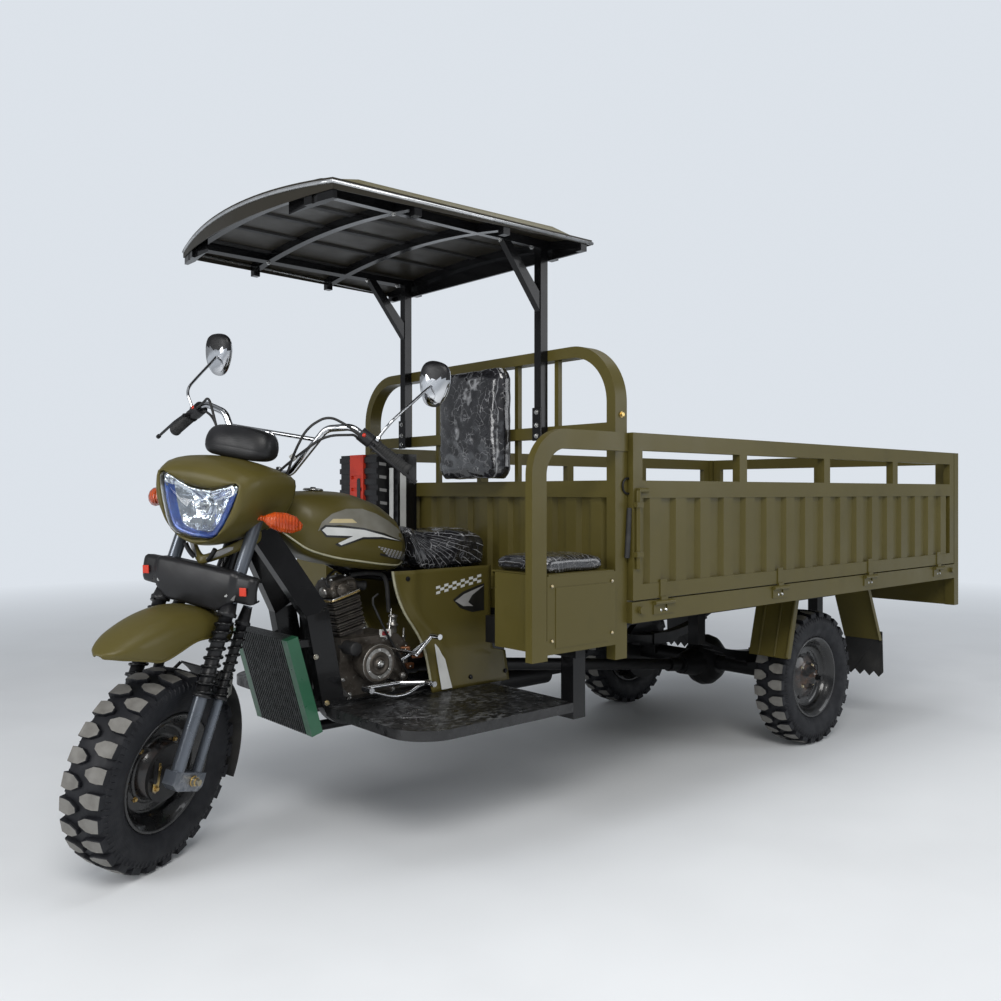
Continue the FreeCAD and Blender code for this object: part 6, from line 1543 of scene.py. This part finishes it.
def soft_square(half_x, half_y, corner):
    """A rectangle with round corners, from its half sides."""
    points = []
    for sx, sy, first in ((1, 1, 0), (-1, 1, 90), (-1, -1, 180), (1, -1, 270)):
        for k in range(6):
            angle = math.radians(first + 18 * k)
            points.append((sx * (half_x - corner) + corner * math.cos(angle),
                           sy * (half_y - corner) + corner * math.sin(angle)))
    return points


def make_fins():
    edge = 59 / 60                    # scale of a fin's broken edge
    groups = []
    for k in range(14):
        grow = 3 * (k % 2)
        outline = soft_square(53 + grow, 55 + grow, 12)
        groups.append([[in_cylinder(x * scale, y * scale, 4 + 9.2 * k + height)
                        for x, y in outline]
                       for height, scale in ((0, edge), (0.8, 1), (2.2, 1), (3.0, edge))])
    skins("cylinder_fins", groups, fins, caps="ab", smooth=False)


def make_head():
    rings = []
    for half, z in ((50, 132), (53, 134), (53, 160), (50, 168), (44, 174), (40, 181), (34, 186)):
        rings.append([in_cylinder(x, y, z) for x, y in soft_square(half, half, 14)])
    skin("head_cover", rings, cast, caps="ab")
    side = cylinder_way(0, 1, 0)
    for k in range(5):
        slab("head_fin_%d" % k, box_outline(-34, 34, -1.4, 1.4),
             frame_at(in_cylinder(0, 52, 136 + 7 * k), side), 6, fins, bevel=0.0008)
    lathe("cam_cover", [(24, 0), (25, 2), (24, 7), (20, 9), (12, 10), (10, 13), (4, 14)],
          frame_at(in_cylinder(8, 53, 150), side), cast, count=28)
    lathe("valve_cap", [(17, 0), (18, 3), (17, 9), (9, 12), (8, 15), (5, 16)],
          frame_at(in_cylinder(51, 12, 152), cylinder_way(1, 0, 0)), alloy, count=20)
    spots = [(in_cylinder(a * 27, b * 27, 185.5), cylinder_way(0, 0, 1), 0.0065)
             for a in (1, -1) for b in (1, -1)]
    spots += [(in_cylinder(8 + 19 * math.cos(a), 60.5, 150 + 19 * math.sin(a)), side, 0.0032)
              for a in (0.6, 2.2, 3.8, 5.4)]
    bolts("head_bolts", spots, bright)
    strap = [in_cylinder(x, y, 128 - 0.05 * x) for x, y in
             ((-50, 59), (-20, 61), (20, 61), (52, 59), (60, 52), (61, 20), (61, -20), (60, -52),
              (52, -59), (-50, -59))]
    tube("head_strap", strap, 0.0034, gold)
    tube("strap_edge", [point + Vector((0, 0, 0.005)) for point in strap], 0.0018, bright)


def make_case():
    side = Vector((0, 1, 0))
    cover = frame_at(at(1958, 163.5, 523), side)
    lathe("cover_rings", [(61, -6), (61.5, 0), (60, 3), (52, 4), (50, 1.5), (38, 1.5),
                          (36.5, 4.5), (27, 5.5), (25, 2.5), (15, 2.5), (14, 6), (12, 7.5)],
          cover, cast, count=56)
    lathe("cover_edge", [(60.5, 1.6), (62.2, 1.2), (62.2, -1.2), (60.5, -1.6)], cover, alloy,
          count=56)
    lathe("cover_hub", [(13, 0), (13, 3), (11, 9), (8, 11), (3, 12)],
          cover @ Matrix.Translation((0, 0, 0.003)), bright, count=18)
    spots = [(at(1958 + x, 165, 523 + z), side, 0.0042) for x, z in circle(6, 44, 0.5)]
    spots += [(at(x, 84.5, z), side, 0.0062) for x, z in (
        (1806, 585), (1806, 500), (1812, 440), (1850, 416), (2030, 590), (2044, 470),
        (2020, 420), (1880, 588))]
    spots.append((at(1958, 175, 523), side, 0.0062))
    bolts("case_bolts", spots, bright)
    rib = [(-42, -62), (38, -70), (52, -30), (50, 60), (30, 72), (-40, 70), (-52, 20)]
    slab("case_side_0", [(x * 0.95, y * 0.95) for x, y in rib],
         frame_at(at(1868, 84, 500), side), 9, cast, bevel=0.003)
    starter = Matrix.Translation(at(2032, 60, 575)) @ Matrix.Rotation(math.pi / 2, 4, "X")
    lathe("starter_motor", [(20, -26), (22, -24), (22, 50), (18, 54), (8, 56)],
          starter @ Matrix.Translation((0, 0, -0.06)), inner_black, count=20)


def make_intake():
    """Carburettor and the parts about it, behind the cylinder."""
    lathe("intake_stub", [(15, 0), (16, 4), (14, 8), (14, 44), (17, 46), (17, 52)],
          frame_at(in_cylinder(-48, 18, 150), (-1, 0, -0.15)), rubber, count=18)
    lathe("carburettor", [(14, 0), (15, 3), (15, 24), (19, 26), (19, 30), (13, 34), (12, 52),
                          (15, 54), (15, 60), (6, 63)],
          frame_at(seen(392, 622, 60) - Vector((0, 0, 0.035)), (0, 0.1, 1)), alloy, count=20)
    spot = seen(385, 633, 84)
    meter_way = (0.45, 0.85, 0.1)
    slab("meter_white", soft_square(20, 13, 4), frame_at(spot, meter_way), 9, white,
         bevel=0.002)
    slab("meter_red", soft_square(11, 7, 3),
         frame_at(spot + Vector((0.0042, 0.0080, 0.0)), meter_way), 3, red_paint, bevel=0.001)
    for k, (u, v, wide, high) in enumerate(((405, 649, 17, 12), (416, 655, 20, 11),
                                            (408, 665, 16, 10), (421, 645, 11, 8))):
        facing = Vector((0.5 - 0.25 * k, 0.85, 0.3 * (k % 2) - 0.1))
        spot = seen(u, v, 92)
        slab("copper_part_%d" % k, soft_square(wide, high, 5), frame_at(spot, facing), 16,
             copper, bevel=0.003)
        bolts("copper_bolt_%d" % k, [(spot + facing.normalized() * 0.0155, facing, 0.005)],
              gold if k % 2 else bright)
    tube("water_hose", seen_line((350, 575, 40), (362, 573, 44), (376, 573, 50),
                                 (384, 575, 54), (387, 584, 58), (388, 598, 60),
                                 (389, 612, 60)), 0.0075, rubber)
    tube("clutch_rod", seen_line((378, 594, 92), (373, 598, 95), (373, 604, 98),
                                 (384, 628, 104), (397, 652, 108), (408, 674, 110)),
         0.0042, inner_black, smooth=False)
    tube("small_pipe", seen_line((391, 608, 62), (391, 622, 74), (388, 634, 82)), 0.0028,
         bright)
    tube("fuel_pipe", seen_line((404, 628, 60), (402, 640, 70), (408, 650, 92)), 0.0035,
         alloy)
    tube("plug_lead", [in_cylinder(40, 40, 165), in_cylinder(62, 44, 182),
                       in_cylinder(40, 30, 206), in_cylinder(0, 20, 214)], 0.0042,
         inner_black)
    tube("gear_lever", seen_line((368, 691, 214), (380, 694, 212), (393, 697, 210),
                                 (408, 694, 208), (418, 686, 208), (427, 683, 212)),
         0.0065, chrome)
    tube("kick_lever", seen_line((401, 660, 186), (408, 656, 188), (417, 648, 190),
                                 (428, 640, 196)), 0.0055, chrome)
    lathe("lever_boss", [(11, 0), (11, 14), (8, 17), (3, 18)],
          frame_at(seen(401, 675, 112), (0, 1, 0)), alloy, count=18)
    lathe("gear_boss", [(9, 0), (9, 12), (6, 15)], frame_at(seen(366, 690, 180), (0, 1, 0)),
          alloy, count=16)


make_fins()
make_head()
make_case()
make_intake()


# ---------------------------------------------------------------- small fittings
def make_tread():
    look = Look("tread_plate", (0.006, 0.006, 0.0065), 0.3, Coat_Weight=0.1)
    top = look.ramp(look.facing(2), 0.85, 0.95)
    marks = look.math("MULTIPLY", look.ramp(look.noise(46, 6.0, (1, 1.6, 1)), 0.5, 0.62),
                      look.ramp(look.noise(7, 3.0), 0.35, 0.6))
    look.mottle((0.014, 0.014, 0.015), 9)
    look.blend(look.math("MULTIPLY", top, look.math("MULTIPLY", marks, 0.6)),
               (0.16, 0.165, 0.17))
    look.relief(look.noise(52, 5.0), 0.55, 0.004).gloss(38, 0.22, 0.62)
    return look.mat


def make_fittings():
    decal("cleaner_slots", [[(u + du, v + dv) for du, dv in ((0, 0), (7, 1), (7, 4), (0, 3))]
                            for u, v in [(379 + 0.3 * k, 462 + 13 * k) for k in range(5)]],
          tree_of("air_cleaner"), decal_silver, step=20.0, both=False)
    # Painted highlight: two white bands on the right locker lid, standing for the gleam along the
    # edges of a glossy black part.
    decal("cleaner_painted_highlights", [[(389.5, 468), (393.5, 468), (393.5, 528), (389.5, 528)],
                             [(400, 468), (406, 468), (406, 532), (400, 532)]],
          tree_of("locker_lid_right"), decal_white, step=20.0, both=False)
    # Painted shade: a thin black plate with a round top, standing for the shade seen in a slot.
    top = [(-536 + x, 1119 + y) for x, y in circle(20, 12)[:11]]
    skin("grille_slot", [[at(x, y, z) for y, z in top + [(-548, 985), (-524, 985)]]
                         for x in (1585.5, 1587.2)], decal_black, caps="ab", smooth=False)
    spots = [(seen(u, v, 125.3), Vector((0, 1, 0)), 0.0085) for u, v in ((316, 657), (327, 703))]
    spots += [(at(x, 733 * hand, z), Vector((0, hand, 0)), 0.005)
              for hand in (1, -1) for z in (640, 800) for x in (1480, 1740)]
    bolts("side_bolts", spots, zinc)
    bolts("hoop_bolts", [(at(1412, 712 * hand, 1320), Vector((0, hand, 0)), 0.010)
                         for hand in (1, -1)], gold)
    tube("latch_grip", seen_line((629.5, 508, 719), (628.5, 530, 719), (627, 558, 719)),
         0.0085, rubber)
    tube("latch_ring", [seen(627.5 + 5 * x, 486 + 8 * y, 714) for x, y in circle(12)], 0.0035,
         dark_steel, closed=True)


def make_flaps():
    top, bottom = 434, 222            # of the rubber behind the rear wheels
    teeth = [(622 - 22.75 * k, bottom if k % 2 else 246) for k in range(9)]
    groups = []
    for hand in (1, -1):
        groups.append([[at(x - 12 * ((top - z) / (top - bottom)) ** 2, y * hand, z)
                        for y, z in [(440, top), (622, top)] + teeth] for x in (-496, -491)])
    flaps = skins("serrated_flaps", groups, flap, caps="ab", smooth=False)
    modify(flaps, "BEVEL", width=0.0008, segments=1)
    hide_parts("fender_flaps")


dress(make_tread(), "footboards")
make_fittings()
make_flaps()
